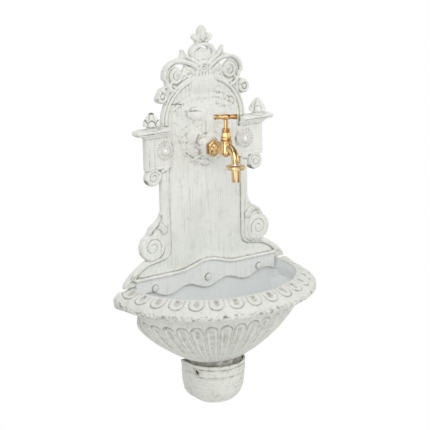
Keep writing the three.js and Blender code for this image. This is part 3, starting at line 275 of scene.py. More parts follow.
@dataclass
class Relief:
    """A carved front: its depth before the wall over an even grid of places."""

    x: Grid
    z: Grid
    depth: Grid

    def window(self, low: Grid, high: Grid) -> Part:
        """Part of the grid between two corners.

        Args:
            low: Lowest x and height.
            high: Highest x and height.

        Returns:
            Row and column ranges.
        """
        columns = np.searchsorted(self.x[0], [low[0], high[0]])
        rows = np.searchsorted(self.z[:, 0], [low[1], high[1]])
        return slice(*rows), slice(*columns)

    def along(self, line: Grid | list[Point], width: float, taper: float = 0.0) -> tuple[Part, Grid, Grid]:
        """Places near a line of some width.

        Args:
            line: Points of the line, or a list of places that it passes through smoothly.
            width: Full width at the start of the line, and how far from it to look.
            taper: Share of the width that is lost towards the end.

        Returns:
            The part of the grid, the distances, and a value that falls from 1 on the line to 0 at its
            edges.
        """
        line = smooth_line(line) if isinstance(line, list) else line
        part = self.window(line.min(axis=0) - width, line.max(axis=0) + width)
        distance, share = line_distance(self.x[part], self.z[part], line)
        return part, distance, 1 - (distance / (width / 2 * (1 - taper * share))) ** 2

    def oval(
        self, x: float, z: float, half_width: float, half_height: float, tilt: float, reach: float
    ) -> tuple[Part, Grid]:
        """Places in and around a turned oval.

        Args:
            x: Middle across.
            z: Middle height.
            half_width: Half its width.
            half_height: Half its height.
            tilt: Turn in the wall's plane, in degrees.
            reach: How far to look, as a share of its larger half.

        Returns:
            The part of the grid, and the squared distance from the middle, which is 1 at the oval's edge.
        """
        span = reach * max(half_width, half_height)
        part = self.window(np.array([x - span, z - span]), np.array([x + span, z + span]))
        sine, cosine = math.sin(math.radians(tilt)), math.cos(math.radians(tilt))
        dx, dz = self.x[part] - x, self.z[part] - z
        along, across = dx * cosine + dz * sine, dz * cosine - dx * sine
        return part, (along / half_width) ** 2 + (across / half_height) ** 2

    def raise_to(self, part: Part, inside: Grid, value: Grid, soft: float) -> None:
        """Lifts a part of the front to given depths, with a rounded inner corner.

        Args:
            part: Part of the grid.
            inside: Positive where the front is lifted.
            value: Depths to reach.
            soft: Size of the rounding.
        """
        old = self.depth[part]
        value = np.where(inside > 0, value, FAR_BEHIND)
        blend = np.clip(soft - np.abs(old - value), 0, None) / soft
        self.depth[part] = np.maximum(old, value) + blend**2 * soft / 4

    def ridge(
        self, line: Grid | list[Point], width: float, foot: float, crest: float,
        taper: float = 0.0, power: float = 0.5, soft: float = 0.7,
    ) -> None:
        """Raises a rounded ridge along a line.

        Args:
            line: The line, as the method along takes it.
            width: Full width at the start of the line.
            foot: Depth at its edges.
            crest: Depth at its middle.
            taper: Share of the width that is lost towards the end.
            power: 0.5 for a round section, 1 for a flatter arch.
            soft: Size of the rounding where it meets the ground.
        """
        part, _, inside = self.along(line, width, taper)
        self.raise_to(part, inside, foot + (crest - foot) * np.clip(inside, 0, 1) ** power, soft)

    def groove(self, line: Grid | list[Point], width: float, deep: float, taper: float = 0.0) -> None:
        """Sinks a rounded groove along a line.

        Args:
            line: The line, as the method along takes it.
            width: Full width at the start of the line.
            deep: Depth of the groove.
            taper: Share of the width that is lost towards the end.
        """
        part, _, inside = self.along(line, width, taper)
        self.depth[part] -= deep * np.clip(inside, 0, 1)

    def bead(self, line: Grid, width: float, foot: float, crest: float, gutter: float) -> None:
        """Raises a round bead with a narrow gutter at each side.

        Args:
            line: Points of the line.
            width: Full width of the bead.
            foot: Depth at its edges.
            crest: Depth at its middle.
            gutter: Depth of the gutters.
        """
        self.ridge(line, width, foot, crest)
        part, distance, _ = self.along(line, width)
        self.depth[part] -= gutter * bump(distance - width / 2 - 0.4, 0.9)

    def press(self, outline: Grid | list[Point], depth: float | Grid, edge: float = 1.2) -> None:
        """Sets the depth inside an outline, with a soft step at its edge.

        Args:
            outline: Corner points.
            depth: New depth, or depths over the whole grid.
            edge: Width of the step.
        """
        outline = np.array(outline, float)
        part = self.window(outline.min(axis=0) - 1, outline.max(axis=0) + 1)
        share = eased(-signed_distance(self.x[part], self.z[part], outline) / edge)
        wanted = depth[part] if isinstance(depth, Grid) else depth
        self.depth[part] = self.depth[part] * (1 - share) + wanted * share

    def dome(
        self, x: float, z: float, half_width: float, half_height: float, middle: float, rise: float,
        tilt: float = 0.0, soft: float = 1.0,
    ) -> None:
        """Raises a rounded swelling.

        Args:
            x: Middle across.
            z: Middle height.
            half_width: Half its width.
            half_height: Half its height.
            middle: Depth of its middle plane.
            rise: How far it stands before that plane.
            tilt: Turn in the wall's plane, in degrees.
            soft: Size of the rounding where it meets its neighbours.
        """
        part, away = self.oval(x, z, half_width, half_height, tilt, 1.0)
        self.raise_to(part, 1 - away, middle + rise * np.sqrt(np.clip(1 - away, 0, 1)), soft)

    def dent(
        self, x: float, z: float, half_width: float, half_height: float, deep: float, tilt: float = 0.0
    ) -> None:
        """Sinks a rounded hollow.

        Args:
            x: Middle across.
            z: Middle height.
            half_width: Half its width.
            half_height: Half its height.
            deep: Depth of the hollow.
            tilt: Turn in the wall's plane, in degrees.
        """
        part, away = self.oval(x, z, half_width, half_height, tilt, 1.6)
        self.depth[part] -= deep * bump(np.sqrt(away), 0.75)

    def calm(self, above: float, reach: int, share: float) -> None:
        """Flattens the fine carving above a height towards its own average.

        Args:
            above: Lowest height that is flattened.
            reach: Size of the averaging, in grid steps.
            share: Share of the carving that stays.
        """
        rows = slice(int(np.searchsorted(self.z[:, 0], above)), None)
        even = blurred(self.depth[rows], reach)
        self.depth[rows] = even + share * (self.depth[rows] - even)


def pick(piece: Piece) -> None:
    """Selects one piece alone and makes it the active one.

    Args:
        piece: The piece.
    """
    bpy.ops.object.select_all(action="DESELECT")
    piece.select_set(True)
    bpy.context.view_layer.objects.active = piece


def mark(piece: Piece, marks: dict[str, Grid]) -> None:
    """Keeps values on a piece's vertices for its finish.

    Args:
        piece: The piece.
        marks: One value for each vertex, or one for all, under the name that the finish reads.
    """
    for name, values in marks.items():
        layer = piece.data.attributes.new(name, "FLOAT", "POINT")
        layer.data.foreach_set("value", np.broadcast_to(values, len(piece.data.vertices)).astype(float))


def grid_piece(name: str, places: Grid, marks: dict[str, Grid]) -> Piece:
    """Adds a grid primitive and shapes it to given places.

    Args:
        name: Name of the piece.
        places: Places in metres, as rows of columns.
        marks: Values kept on the vertices for the finishes.

    Returns:
        The new object, the active one.
    """
    rows, columns = places.shape[:2]
    bpy.ops.object.select_all(action="DESELECT")
    bpy.ops.mesh.primitive_grid_add(
        x_subdivisions=columns - 1, y_subdivisions=rows - 1, size=1.0, location=(0, 0, 0)
    )
    piece = bpy.context.object
    piece.name = name
    piece.data.name = name
    flat = np.empty(rows * columns * 3)
    piece.data.vertices.foreach_get("co", flat)
    flat = flat.reshape(-1, 3)
    column = np.rint((flat[:, 0] + 0.5) * (columns - 1)).astype(int)
    row = np.rint((flat[:, 1] + 0.5) * (rows - 1)).astype(int)
    piece.data.vertices.foreach_set("co", places[row, column].ravel())
    grids = {key: np.broadcast_to(values, (rows, columns)) for key, values in marks.items()}
    mark(piece, {key: values[row, column] for key, values in grids.items()})
    piece.data.update()
    return piece


def block(name: str, size: tuple[float, float, float], x: float, depth: float, height: float) -> Piece:
    """Adds a plain block.

    Args:
        name: Name of the block.
        size: Its width, depth and height.
        x: Its middle across.
        depth: Depth of its middle.
        height: Height of its middle.

    Returns:
        The block, with its place in its mesh.
    """
    bpy.ops.object.select_all(action="DESELECT")
    bpy.ops.mesh.primitive_cube_add(size=1.0, location=(0, 0, 0))
    piece = bpy.context.object
    piece.name = name
    piece.data.transform(Matrix.Diagonal((*(side * MM for side in size), 1)))
    return moved(piece, x, depth, height - MOUNT_HEIGHT)


def moved(piece: Piece, x: float, depth: float, height: float) -> Piece:
    """Shifts a piece's mesh, with its origin left in place."""
    piece.data.transform(Matrix.Translation(Vector((x * MM, -depth * MM, height * MM))))
    return piece


def close_seams(piece: Piece) -> None:
    """Merges a piece's meeting edges and turns its faces outwards.

    Args:
        piece: The piece.
    """
    pick(piece)
    bpy.ops.object.mode_set(mode="EDIT")
    bpy.ops.mesh.select_all(action="SELECT")
    bpy.ops.mesh.remove_doubles(threshold=MERGE_DISTANCE)
    bpy.ops.mesh.dissolve_degenerate(threshold=WORST_FACE)
    bpy.ops.mesh.select_all(action="SELECT")
    bpy.ops.mesh.normals_make_consistent(inside=False)
    bpy.ops.object.mode_set(mode="OBJECT")


def give_back(piece: Piece, keep: Grid, back: float) -> None:
    """Cuts a shaped grid to its outline and closes it with side walls and a flat back.

    Args:
        piece: The shaped grid.
        keep: One truth value for each face that stays, in the order of the faces.
        back: Depth of the back in millimetres before the wall.
    """
    pick(piece)
    bpy.ops.object.mode_set(mode="EDIT")
    bpy.ops.mesh.select_mode(type="FACE")
    bpy.ops.mesh.select_all(action="DESELECT")
    bpy.ops.object.mode_set(mode="OBJECT")
    piece.data.polygons.foreach_set("select", ~keep)
    bpy.ops.object.mode_set(mode="EDIT")
    bpy.ops.mesh.delete(type="FACE")
    bpy.ops.mesh.select_mode(type="EDGE")
    bpy.ops.mesh.select_all(action="SELECT")
    bpy.ops.mesh.region_to_loop()
    bpy.ops.mesh.mark_sharp()
    bpy.ops.mesh.extrude_edges_move(TRANSFORM_OT_translate={"value": (0, 0, 0)})
    bpy.ops.transform.resize(value=(1, 0, 1), center_override=(0, -back * MM, 0))
    bpy.ops.mesh.mark_sharp()
    bpy.ops.mesh.fill(use_beauty=True)
    bpy.ops.mesh.select_all(action="SELECT")
    bpy.ops.mesh.normals_make_consistent(inside=False)
    bpy.ops.object.mode_set(mode="OBJECT")


def applied(piece: Piece, kind: str, **settings: object) -> None:
    """Adds a modifier to a piece and applies it.

    Args:
        piece: The piece.
        kind: Kind of modifier.
        settings: Its settings by name.
    """
    pick(piece)
    modifier = piece.modifiers.new(kind.lower(), kind)
    for name, value in settings.items():
        setattr(modifier, name, value)
    bpy.ops.object.modifier_apply(modifier=modifier.name)


def cut_away(piece: Piece, cutter: Piece) -> None:
    """Cuts one closed shape out of a piece and removes the cutter."""
    applied(piece, "BOOLEAN", operation="DIFFERENCE", object=cutter, solver="EXACT")
    bpy.data.objects.remove(cutter)


def softened(piece: Piece, width: float, angle: float = 28.0) -> None:
    """Rounds a piece's edges above an angle in degrees."""
    applied(
        piece, "BEVEL", width=width * MM, segments=3, limit_method="ANGLE", angle_limit=math.radians(angle)
    )


def shade_round(piece: Piece, angle: float = 180.0) -> None:
    """Shades a piece smooth, with its marked edges or those above an angle in degrees kept sharp.

    Args:
        piece: The piece.
        angle: The angle, or 180 for the marked edges alone.
    """
    pick(piece)
    if angle < 180:
        bpy.ops.object.shade_smooth_by_angle(angle=math.radians(angle))
    else:
        bpy.ops.object.shade_smooth(keep_sharp_edges=True)


def joined(pieces: list[Piece], name: str) -> Piece:
    """Joins pieces into the first one.

    Args:
        pieces: Objects to join.
        name: Name of the result.

    Returns:
        The joined object.
    """
    pick(pieces[0])
    for piece in pieces:
        piece.select_set(True)
    bpy.ops.object.join()
    pieces[0].name = name
    pieces[0].data.name = name
    return pieces[0]


def turned(
    name: str, profile: list[Point], steps: int, outward: bool = False, start: float = 0.0
) -> Piece:
    """Turns a profile into a closed piece on the drawing's own axis.

    Args:
        name: Name of the piece.
        profile: Pairs of radius and distance along the axis, in millimetres.
        steps: Number of sides.
        outward: True for an axis that points out of the wall, False for an upright one.
        start: Angle of the first side in degrees.

    Returns:
        The piece, still at the origin.
    """
    mesh = bpy.data.meshes.new(name)
    stretches = [(i, i + 1) for i in range(len(profile) - 1)]
    mesh.from_pydata([(radius * MM, 0, along * MM) for radius, along in profile], stretches, [])
    piece = bpy.data.objects.new(name, mesh)
    bpy.context.collection.objects.link(piece)
    pick(piece)
    bpy.ops.object.mode_set(mode="EDIT")
    bpy.ops.mesh.select_all(action="SELECT")
    bpy.ops.mesh.spin(steps=steps, angle=2 * math.pi, center=(0, 0, 0), axis=(0, 0, 1))
    bpy.ops.object.mode_set(mode="OBJECT")
    close_seams(piece)
    piece.data.transform(Matrix.Rotation(math.radians(start), 4, "Z"))
    if outward:
        piece.data.transform(Matrix.Rotation(math.radians(90), 4, "X"))
    return piece


def finished(piece: Piece, body: Body, slot: Slot, material: Material, *nodes: str) -> Piece:
    """Puts a piece on its body, gives it its finish and takes the plain solids away.

    Args:
        piece: The finished mesh.
        body: Body it rides on.
        slot: Slot of its finish; not used.
        material: Material it wears.
        nodes: Names of the solids that it replaces.

    Returns:
        The piece.
    """
    piece.data.materials.clear()
    piece.data.materials.append(material)
    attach(piece, body.value)
    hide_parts(*nodes)
    log.info("%s: %d faces on %s", piece.name, len(piece.data.polygons), body.value)
    return piece


class Graph:
    """A node tree, built a node at a time."""

    def __init__(self, tree: bpy.types.NodeTree) -> None:
        """Starts with an empty tree."""
        self.tree = tree
        self.tree.nodes.clear()

    def node(self, kind: str, sockets: dict[str | int, object], **settings: object) -> bpy.types.Node:
        """Adds a node.

        Args:
            kind: The node's type, without the word Shader in front.
            sockets: Values, or outputs to link, for its inputs.
            settings: Its other settings by name.

        Returns:
            The node.
        """
        node = self.tree.nodes.new("ShaderNode" + kind)
        for name, value in settings.items():
            setattr(node, name, value)
        for key, value in sockets.items():
            if isinstance(value, Socket):
                self.tree.links.new(value, node.inputs[key])
            else:
                node.inputs[key].default_value = value
        return node

    def math(self, kind: str, first: object, second: object = 0.0) -> Socket:
        """Adds a sum, product or other operation on two values."""
        return self.node("Math", {0: first, 1: second}, operation=kind).outputs["Value"]

    def times(self, first: object, second: object) -> Socket:
        """Multiplies two values."""
        return self.math("MULTIPLY", first, second)

    def plus(self, first: object, second: object) -> Socket:
        """Adds two values."""
        return self.math("ADD", first, second)


class Finish(Graph):
    """A material's node tree."""

    def __init__(self, name: str) -> None:
        """Starts a new material.

        Args:
            name: Name of the material.
        """
        self.material = bpy.data.materials.new(name)
        self.material.use_nodes = True
        super().__init__(self.material.node_tree)
        self.places = self.node("TexCoord", {}).outputs["Object"]

    def mark(self, name: str) -> Socket:
        """Reads values kept on the mesh."""
        return self.node("Attribute", {}, attribute_name=name).outputs["Fac"]

    def stretched(self, scale: tuple[float, float, float]) -> Socket:
        """Scales the pattern's places along each axis."""
        return self.node("Mapping", {"Vector": self.places, "Scale": scale}).outputs["Vector"]

    def noise(
        self, scale: float, detail: float = 4.0, roughness: float = 0.6, where: Socket | None = None
    ) -> Socket:
        """Adds cloudy noise.

        Args:
            scale: Number of lumps in a metre.
            detail: Number of finer layers.
            roughness: Strength of the finer layers.
            where: Places to read, or the object's own.

        Returns:
            The noise's value.
        """
        inputs = {"Vector": where or self.places, "Scale": scale, "Detail": detail, "Roughness": roughness}
        return self.node("TexNoise", inputs).outputs["Fac"]

    def spread(
        self, value: object, low: float, high: float, to_low: float = 0.0, to_high: float = 1.0
    ) -> Socket:
        """Spreads a range of values over another one and holds it there.

        Args:
            value: Value to spread.
            low: Where the range starts.
            high: Where it ends.
            to_low: Result at the start.
            to_high: Result at the end.

        Returns:
            The new value.
        """
        inputs = {"Value": value, "From Min": low, "From Max": high, "To Min": to_low, "To Max": to_high}
        return self.node("MapRange", inputs, interpolation_type="SMOOTHSTEP").outputs["Result"]

    def mix(self, share: object, first: object, second: object) -> Socket:
        """Mixes two colours."""
        return self.node("Mix", {0: share, 6: first, 7: second}, data_type="RGBA").outputs[2]

    def relief(self, strength: float, reach: float, height: Socket) -> Socket:
        """Makes a bump from a height, where a value of 1 stands for the reach in metres."""
        inputs = {"Strength": strength, "Distance": reach, "Height": height}
        return self.node("Bump", inputs).outputs["Normal"]

    def done(self, **sockets: object) -> Material:
        """Ends the tree with a principled shader.

        Args:
            sockets: Values or outputs for its sockets, under their names with _ for each space.

        Returns:
            The material.
        """
        named = {name.replace("_", " "): value for name, value in sockets.items()}
        shader = self.node("BsdfPrincipled", named)
        self.node("OutputMaterial", {"Surface": shader.outputs["BSDF"]})
        return self.material


@dataclass(frozen=True)
class CastPaint:
    """Distressed white paint on a casting, dark in its hollows and worn through on its edges; it also paints
    shade, in dark browns where a piece's marks ask for it and in a near-white cool tint on shaded insides.
    """

    light: Colour = srgb(238, 239, 234)
    dull: Colour = srgb(226, 227, 221)
    streak: Colour = srgb(196, 197, 190)
    # Grey-brown of the hollows and worn edges, and dark brown of rust and grime; both also serve as painted
    # shade where a piece's marks are set for it.
    patina_and_shade: Colour = srgb(160, 158, 145)
    rust_and_shade: Colour = srgb(84, 71, 52)
    # Near-white cool tint painted where the shade mark is set: painted shade inside the bowl, on its back
    # wall and the strip, at the bolt heads and towards the cup's foot.
    shade_tint: Colour = srgb(240, 243, 244)
    streak_share: float = 0.85
    grain: float = 0.45
    level: bool = False
    cast_lumps: float = 0.0007

    def build(self, name: str) -> Material:
        """Builds the paint.

        Args:
            name: Name of the material.

        Returns:
            The material.
        """
        paint = Finish(name)
        relief, stain_and_shade, shade = (paint.mark(key) for key in ("relief", "stain_and_shade", "shade"))
        clouds = paint.noise(11.0, 5.0)
        mottle = paint.noise(85.0, 4.0, 0.65)
        speckle = paint.noise(420.0, 3.0, 0.7)
        grain = paint.noise(1500.0, 2.0)
        strokes_along = (26.0, 26.0, 300.0) if self.level else (330.0, 330.0, 14.0)
        brushed = paint.noise(1.0, 3.0, 0.7, paint.stretched(strokes_along))
        uneven = paint.spread(mottle, 0.3, 0.65, 0.25, 0.95)
        worn = paint.times(paint.spread(relief, 0.35, 0.9), paint.spread(speckle, 0.6, 0.68))
        patchy = paint.plus(stain_and_shade, paint.times(paint.math("SUBTRACT", mottle, 0.5), 0.9))
        patchy = paint.plus(patchy, paint.times(paint.math("SUBTRACT", speckle, 0.5), 0.7))
        # Grime mask, which pieces also use for painted shade: inside the drain cup, around its holes, along
        # the strip's lower edge and under overhangs.
        dirt_and_shade = paint.times(paint.spread(patchy, 0.3, 0.85), paint.spread(stain_and_shade, 0.02, 0.25))
        base = paint.mix(paint.spread(clouds, 0.35, 0.75), self.light, self.dull)
        for share, colour in (
            (paint.times(paint.spread(brushed, 0.5, 0.78), self.streak_share), self.streak),
            (paint.spread(mottle, 0.5, 0.8, 0.0, self.grain), self.streak),
            (paint.spread(speckle, 0.56, 0.72, 0.0, self.grain), self.streak),
            # Painted shade tint, as strong as the shade mark asks.
            (paint.times(shade, 0.75), self.shade_tint),
            # Low relief marks give real colour in the carved hollows, and painted shade where pieces set them
            # low on purpose, as on the spigot and under lips.
            (paint.times(paint.spread(relief, -0.1, -1.0), uneven), self.patina_and_shade),
            (paint.times(paint.spread(relief, -0.8, -1.5, 0.0, 0.6), uneven), self.rust_and_shade),
            (paint.times(worn, 0.55), self.patina_and_shade),
            (paint.times(dirt_and_shade, 0.8), self.rust_and_shade),
        ):
            base = paint.mix(share, base, colour)
        height = paint.plus(paint.times(speckle, 0.6), paint.times(grain, 0.35))
        height = paint.plus(height, paint.times(brushed, 0.25))
        return paint.done(
            Base_Color=base, Roughness=paint.spread(mottle, 0.3, 0.7, 0.5, 0.68), Specular_IOR_Level=0.35,
            Normal=paint.relief(0.45, self.cast_lumps, height),
        )


@dataclass(frozen=True)
class PolishedBrass:
    """Polished golden brass with faint turning marks, duller where hands don't reach, and a near-white
    painted highlight where a piece's mark asks for it.
    """

    bright: Colour = srgb(244, 211, 158)
    dull: Colour = srgb(222, 181, 122)
    # Near-white painted highlight, put on the ring that a piece's mark picks out.
    painted_highlight: Colour = srgb(254, 252, 246)
    smoothest: float = 0.09
    roughest: float = 0.22

    def build(self, name: str) -> Material:
        """Builds the brass.

        Args:
            name: Name of the material.

        Returns:
            The material.
        """
        brass = Finish(name)
        clouds = brass.noise(60.0, 4.0)
        scratches = brass.noise(1.0, 3.0, 0.6, brass.stretched((500.0, 500.0, 3200.0)))
        pits = brass.noise(900.0, 2.0)
        base = brass.mix(brass.spread(clouds, 0.4, 0.75), self.bright, self.dull)
        base = brass.mix(brass.times(brass.spread(pits, 0.62, 0.75), 0.5), base, self.dull)
        return brass.done(
            # The marked ring is painted near-white as a highlight.
            Base_Color=brass.mix(brass.mark("painted_highlight"), base, self.painted_highlight), Metallic=1.0,
            Roughness=brass.spread(clouds, 0.3, 0.75, self.smoothest, self.roughest),
            Normal=brass.relief(0.05, 0.0003, brass.plus(scratches, brass.times(pits, 0.5))),
        )


@dataclass(frozen=True)
class FloorFinish:
    """Plain pale studio floor."""

    colour: Colour = srgb(238, 238, 236)
    shade: Colour = srgb(230, 230, 228)

    def build(self) -> Material:
        """Builds the floor's finish."""
        floor = Finish("floor_finish")
        share = floor.spread(floor.noise(3.0), 0.3, 0.7, 0.0, 0.3)
        return floor.done(Base_Color=floor.mix(share, self.colour, self.shade), Roughness=0.9)


@dataclass
class Backplate:
    """Flat arched plate with its border, blocks, volutes, pierced crest, lion mask and wavy lap."""

    panel_depth: float = 8.0
    edge_depth: float = 10.2
    arch_spring: float = 545.0
    arch_half_width: float = 92.0
    arch_rise: float = 84.0
    neck_half_width: float = 97.0
    neck_bottom: float = 385.0
    shoulder_half_width: float = 130.0
    shoulder_height: float = 345.0
    foot_half_width: float = 182.0
    foot_top: float = 298.0
    foot_bottom: float = 252.3
    pocket_top: float = 256.6
    pocket_half_width: float = 150.6
    bead_x: float = 83.0
    bead_turn_height: float = 312.0
    block_inner: float = 78.0
    block_outer: float = 129.0
    block_bottom: float = 464.0
    block_top: float = 523.0
    block_depth: float = 14.0
    cornice_bottom: float = 529.0
    cornice_top: float = 541.0
    cornice_end: float = 151.0
    rosette_x: float = 89.0
    rosette_height: float = 498.0
    rosette_radius: float = 17.5
    rosette_petals: int = 20
    pocket_depth: float = 11.5
    well_depth: float = 13.3
    screw_hole_radius: float = 3.5
    volute_x: float = 119.0
    volute_height: float = 321.0
    volute_radius: float = 26.0
    curl_x: float = 113.5
    curl_height: float = 451.0
    curl_radius: float = 16.5
    crest_top: float = 716.0
    arch_top: float = 629.0
    mask_height: float = 530.0
    mask_half_width: float = 64.0
    mask_half_height: float = 74.0
    mouth_height: float = 494.5
    mouth_depth: float = 34.0
    tap_bore: float = 10.7
    bolt_x: float = 118.0
    bolt_height: float = 243.0
    lap_half_width: float = 157.0
    lap_low: float = 223.0
    lap_wave: float = 12.0
    lap_end_rise: float = 3.0
    lap_pitch: float = 88.0
    lap_back: float = 5.3
    lap_front: float = 10.8
    lip_height: float = 261.0
    lip_crest: float = 13.0
    lip_crest_half_width: float = 65.0
    lip_depth: float = 15.0
    cone_x: float = 117.0
    cone_depth: float = 13.0
    left_cone_dirt: float = 1.0
    right_cone_dirt: float = 0.6
    columns: int = 158

    def plate_edge(self) -> Grid:
        """Right-hand edge of the main plate, from the top of the arch to the foot."""
        arch = arc_line(0, self.arch_spring, self.arch_half_width, self.arch_rise, 90, 0, 30)
        neck = [(self.neck_half_width, self.block_bottom), (self.neck_half_width, self.neck_bottom + 12)]
        shoulder = smooth_line([
            (self.neck_half_width, self.neck_bottom),
            (self.neck_half_width + 8, self.neck_bottom - 15),
            (self.shoulder_half_width - 8, self.shoulder_height + 13),
            (self.shoulder_half_width, self.shoulder_height),
        ])
        foot = smooth_line([
            (self.shoulder_half_width - 2, self.foot_top + 1),
            (self.shoulder_half_width + 14, self.foot_top - 7),
            (self.foot_half_width - 17, self.foot_top - 22),
            (self.foot_half_width - 3, self.foot_bottom + 9),
            (self.foot_half_width, self.foot_bottom),
        ], 24)
        return np.concatenate([arch, neck, shoulder, foot])

    def bead_lines(self) -> list[Grid]:
        """Lines of the border bead above and below the pilaster block."""
        arch = arc_line(0, self.arch_spring, self.bead_x, self.arch_rise - 7, 90, 0, 30)
        arch = np.concatenate([arch, [(self.bead_x, self.block_top)]])
        foot = smooth_line([
            (self.bead_x, self.bead_turn_height),
            (self.bead_x + 5, self.bead_turn_height - 12),
            (self.bead_x + 20, self.bead_turn_height - 17),
            (self.shoulder_half_width, self.foot_top - 8),
            (self.foot_half_width - 32, self.foot_top - 19),
            (self.foot_half_width - 20, self.foot_top - 31),
        ], 30)
        return [arch, np.concatenate([[(self.bead_x, self.block_bottom)], foot])]

    def lip_line(self, x: Grid) -> Grid:
        """Height of the lip's lower edge at each place across."""
        share = np.clip(np.abs(x) / self.lip_crest_half_width, 0, 1)
        return self.lip_height + self.lip_crest * np.cos(share * np.pi / 2) ** 2

    def lap_edge(self, x: Grid) -> Grid:
        """Height of the lap's wavy lower edge at each place across."""
        wave = (1 - np.cos(2 * np.pi * x / self.lap_pitch)) / 2
        return self.lap_low + self.lap_wave * wave + self.lap_end_rise * (x / self.lap_half_width) ** 2

    def crest_outlines(self) -> list[Grid]:
        """Outlines of the crest on the right, each closed across the centre line where it meets it."""
        top = self.crest_top
        bud = smooth_line([(0, top), (6.8, top - 5), (9, top - 14), (6.3, top - 27), (0, top - 31)])
        stem = np.array([(-6, 695), (7, 695), (11, 681), (-6, 681)], float)
        leaflet = smooth_line([
            (3, 683), (11, 683.5), (16, 689.5), (21.5, 694.5), (18.5, 700), (12.5, 701), (7.5, 696.5),
            (3, 691.5),
        ], 30)
        cartouche = arc_line(0, 669, 28, 16, 90, -90, 24)
        scroll = np.concatenate([
            [(-6, 620), (-6, 664), (20, 660), (29, 661)],
            smooth_line([(29, 661), (38, 669), (45, 676.3), (46, 669), (49, 662), (57, 659.5)], 18),
            arc_line(58, 630, 29.5, 28.5, 85, 0, 16),
            [(87, 625), (82, 622), (79.5, 611), (70, 600), (50, 605)],
        ])
        knob = smooth_line([
            (70, 612), (79, 613), (86, 611.5), (94, 608), (100, 599), (102.5, 591), (98, 584.5), (86, 582),
            (78, 584),
        ], 32)
        bud = np.concatenate([bud, [(-6, top - 31), (-6, top)]])
        return [bud, stem, leaflet, np.concatenate([cartouche, [(-6, 653), (-6, 685)]]), scroll, knob]

    def outline_distance(self, x: Grid, z: Grid) -> Grid:
        """Signed distance to the plate's outline on the right half, with its holes.

        Args:
            x: Places across.
            z: Heights.

        Returns:
            The distance, negative inside the metal.
        """
        pocket, outer = self.pocket_half_width, self.block_outer
        low = [
            (pocket, self.foot_bottom), (pocket, self.pocket_top), (-6, self.pocket_top), (-6, self.arch_top),
        ]
        side_block = np.array([
            (70, self.block_bottom), (outer, self.block_bottom), (outer, self.block_top),
            (outer + 10, self.cornice_bottom), (70, self.cornice_bottom),
        ])
        plate = np.concatenate([self.plate_edge(), low])
        distance = np.full(x.shape, np.inf)
        for shape in (plate, side_block, self.cornice_outline(), *self.crest_outlines()):
            distance = np.minimum(distance, signed_distance(x, z, shape))
        for cx, cz, radius in (
            (self.volute_x, self.volute_height, self.volute_radius),
            (self.curl_x, self.curl_height, self.curl_radius),
        ):
            distance = np.minimum(distance, np.hypot(x - cx, z - cz) - radius)
        gap = np.concatenate([
            arc_line(0, 664, 16, 15.5, 35, 90, 8), [(-6, 679.5), (-6, 675.5)],
            arc_line(0, 664, 12.5, 11.5, 90, 35, 8),
        ])
        pierced = smooth_line([
            (37.5, 645.5), (44, 648.5), (52, 649.8), (60, 648.6), (53, 644.8), (48, 639.5), (45, 633.5),
            (42.5, 639.5), (37.5, 645.5),
        ], 28)
        for hole in (gap, pierced):
            distance = np.maximum(distance, -signed_distance(x, z, hole))
        for cx, cz, radius in (
            (self.rosette_x, self.rosette_height, self.screw_hole_radius),
            (0, self.mouth_height, self.tap_bore),
        ):
            distance = np.maximum(distance, radius - np.hypot(x - cx, z - cz))
        return distance

    def cornice_outline(self) -> Grid:
        """Outline of the cornice on the right."""
        end, low, top = self.cornice_end, self.cornice_bottom, self.cornice_top
        return np.array([
            (80, low), (end - 5, low), (end - 1, low + 3), (end, low + 6), (end - 1, low + 9),
            (end - 3, top - 1.5), (end - 9, top), (80, top),
        ])

    def carve_border(self, relief: Relief) -> None:
        """Carves the border's margin and beads.

        Args:
            relief: The front to carve.
        """
        outer = self.plate_edge()
        outer = outer[outer[:, 1] < self.block_bottom + 1]
        arch, lower = self.bead_lines()
        relief.press(np.concatenate([outer, lower[::-1]]), self.edge_depth, 4.0)
        for line in (arch, lower):
            relief.bead(line, 6.0, self.panel_depth + 1, self.edge_depth + 0.8, 0.3)
        relief.bead(arc_line(0, self.arch_spring, 89.5, self.arch_rise - 1.5, 78, 0, 24), 4.0, 9, 10.4, 0.3)
        relief.dome(0, self.arch_top - 20, 32, 20, 7.0, 6.2, soft=2.0)

    def carve_block(self, relief: Relief) -> None:
        """Carves the pilaster block, its cornice and the rosette.

        Args:
            relief: The front to carve.
        """
        low, top = self.block_bottom, self.block_top
        inner, outer = self.block_inner, self.block_outer
        ramp = self.panel_depth + (self.block_depth - self.panel_depth) * eased((relief.x - inner + 8) / 14)
        relief.press([(inner - 9, low), (outer, low), (outer, top), (inner - 9, top)], ramp)
        relief.press([(90, 471), (122, 471), (122, 520), (90, 520)], self.block_depth - 1.0, 1.6)
        relief.groove(np.array([(84, 471.5), (122, 471.5), (122, 520)], float), 2.0, 0.7)
        relief.groove(np.array([(84, 520), (122, 520)], float), 2.0, 0.5)
        slope = self.block_depth + (relief.z - top) / 6 * 4
        relief.press([(inner, top - 1), (outer, top - 1), (outer + 10, 530), (inner, 530)], slope, 0.8)
        height = (relief.z - self.cornice_bottom) / (self.cornice_top - self.cornice_bottom)
        profile = 18.5 + 3.5 * np.sin(np.clip(height, 0, 1) * np.pi) ** 0.5 - 3.0 * bump(height - 0.33, 0.1)
        relief.press(self.cornice_outline(), profile, 1.0)
        self.carve_rosette(relief)

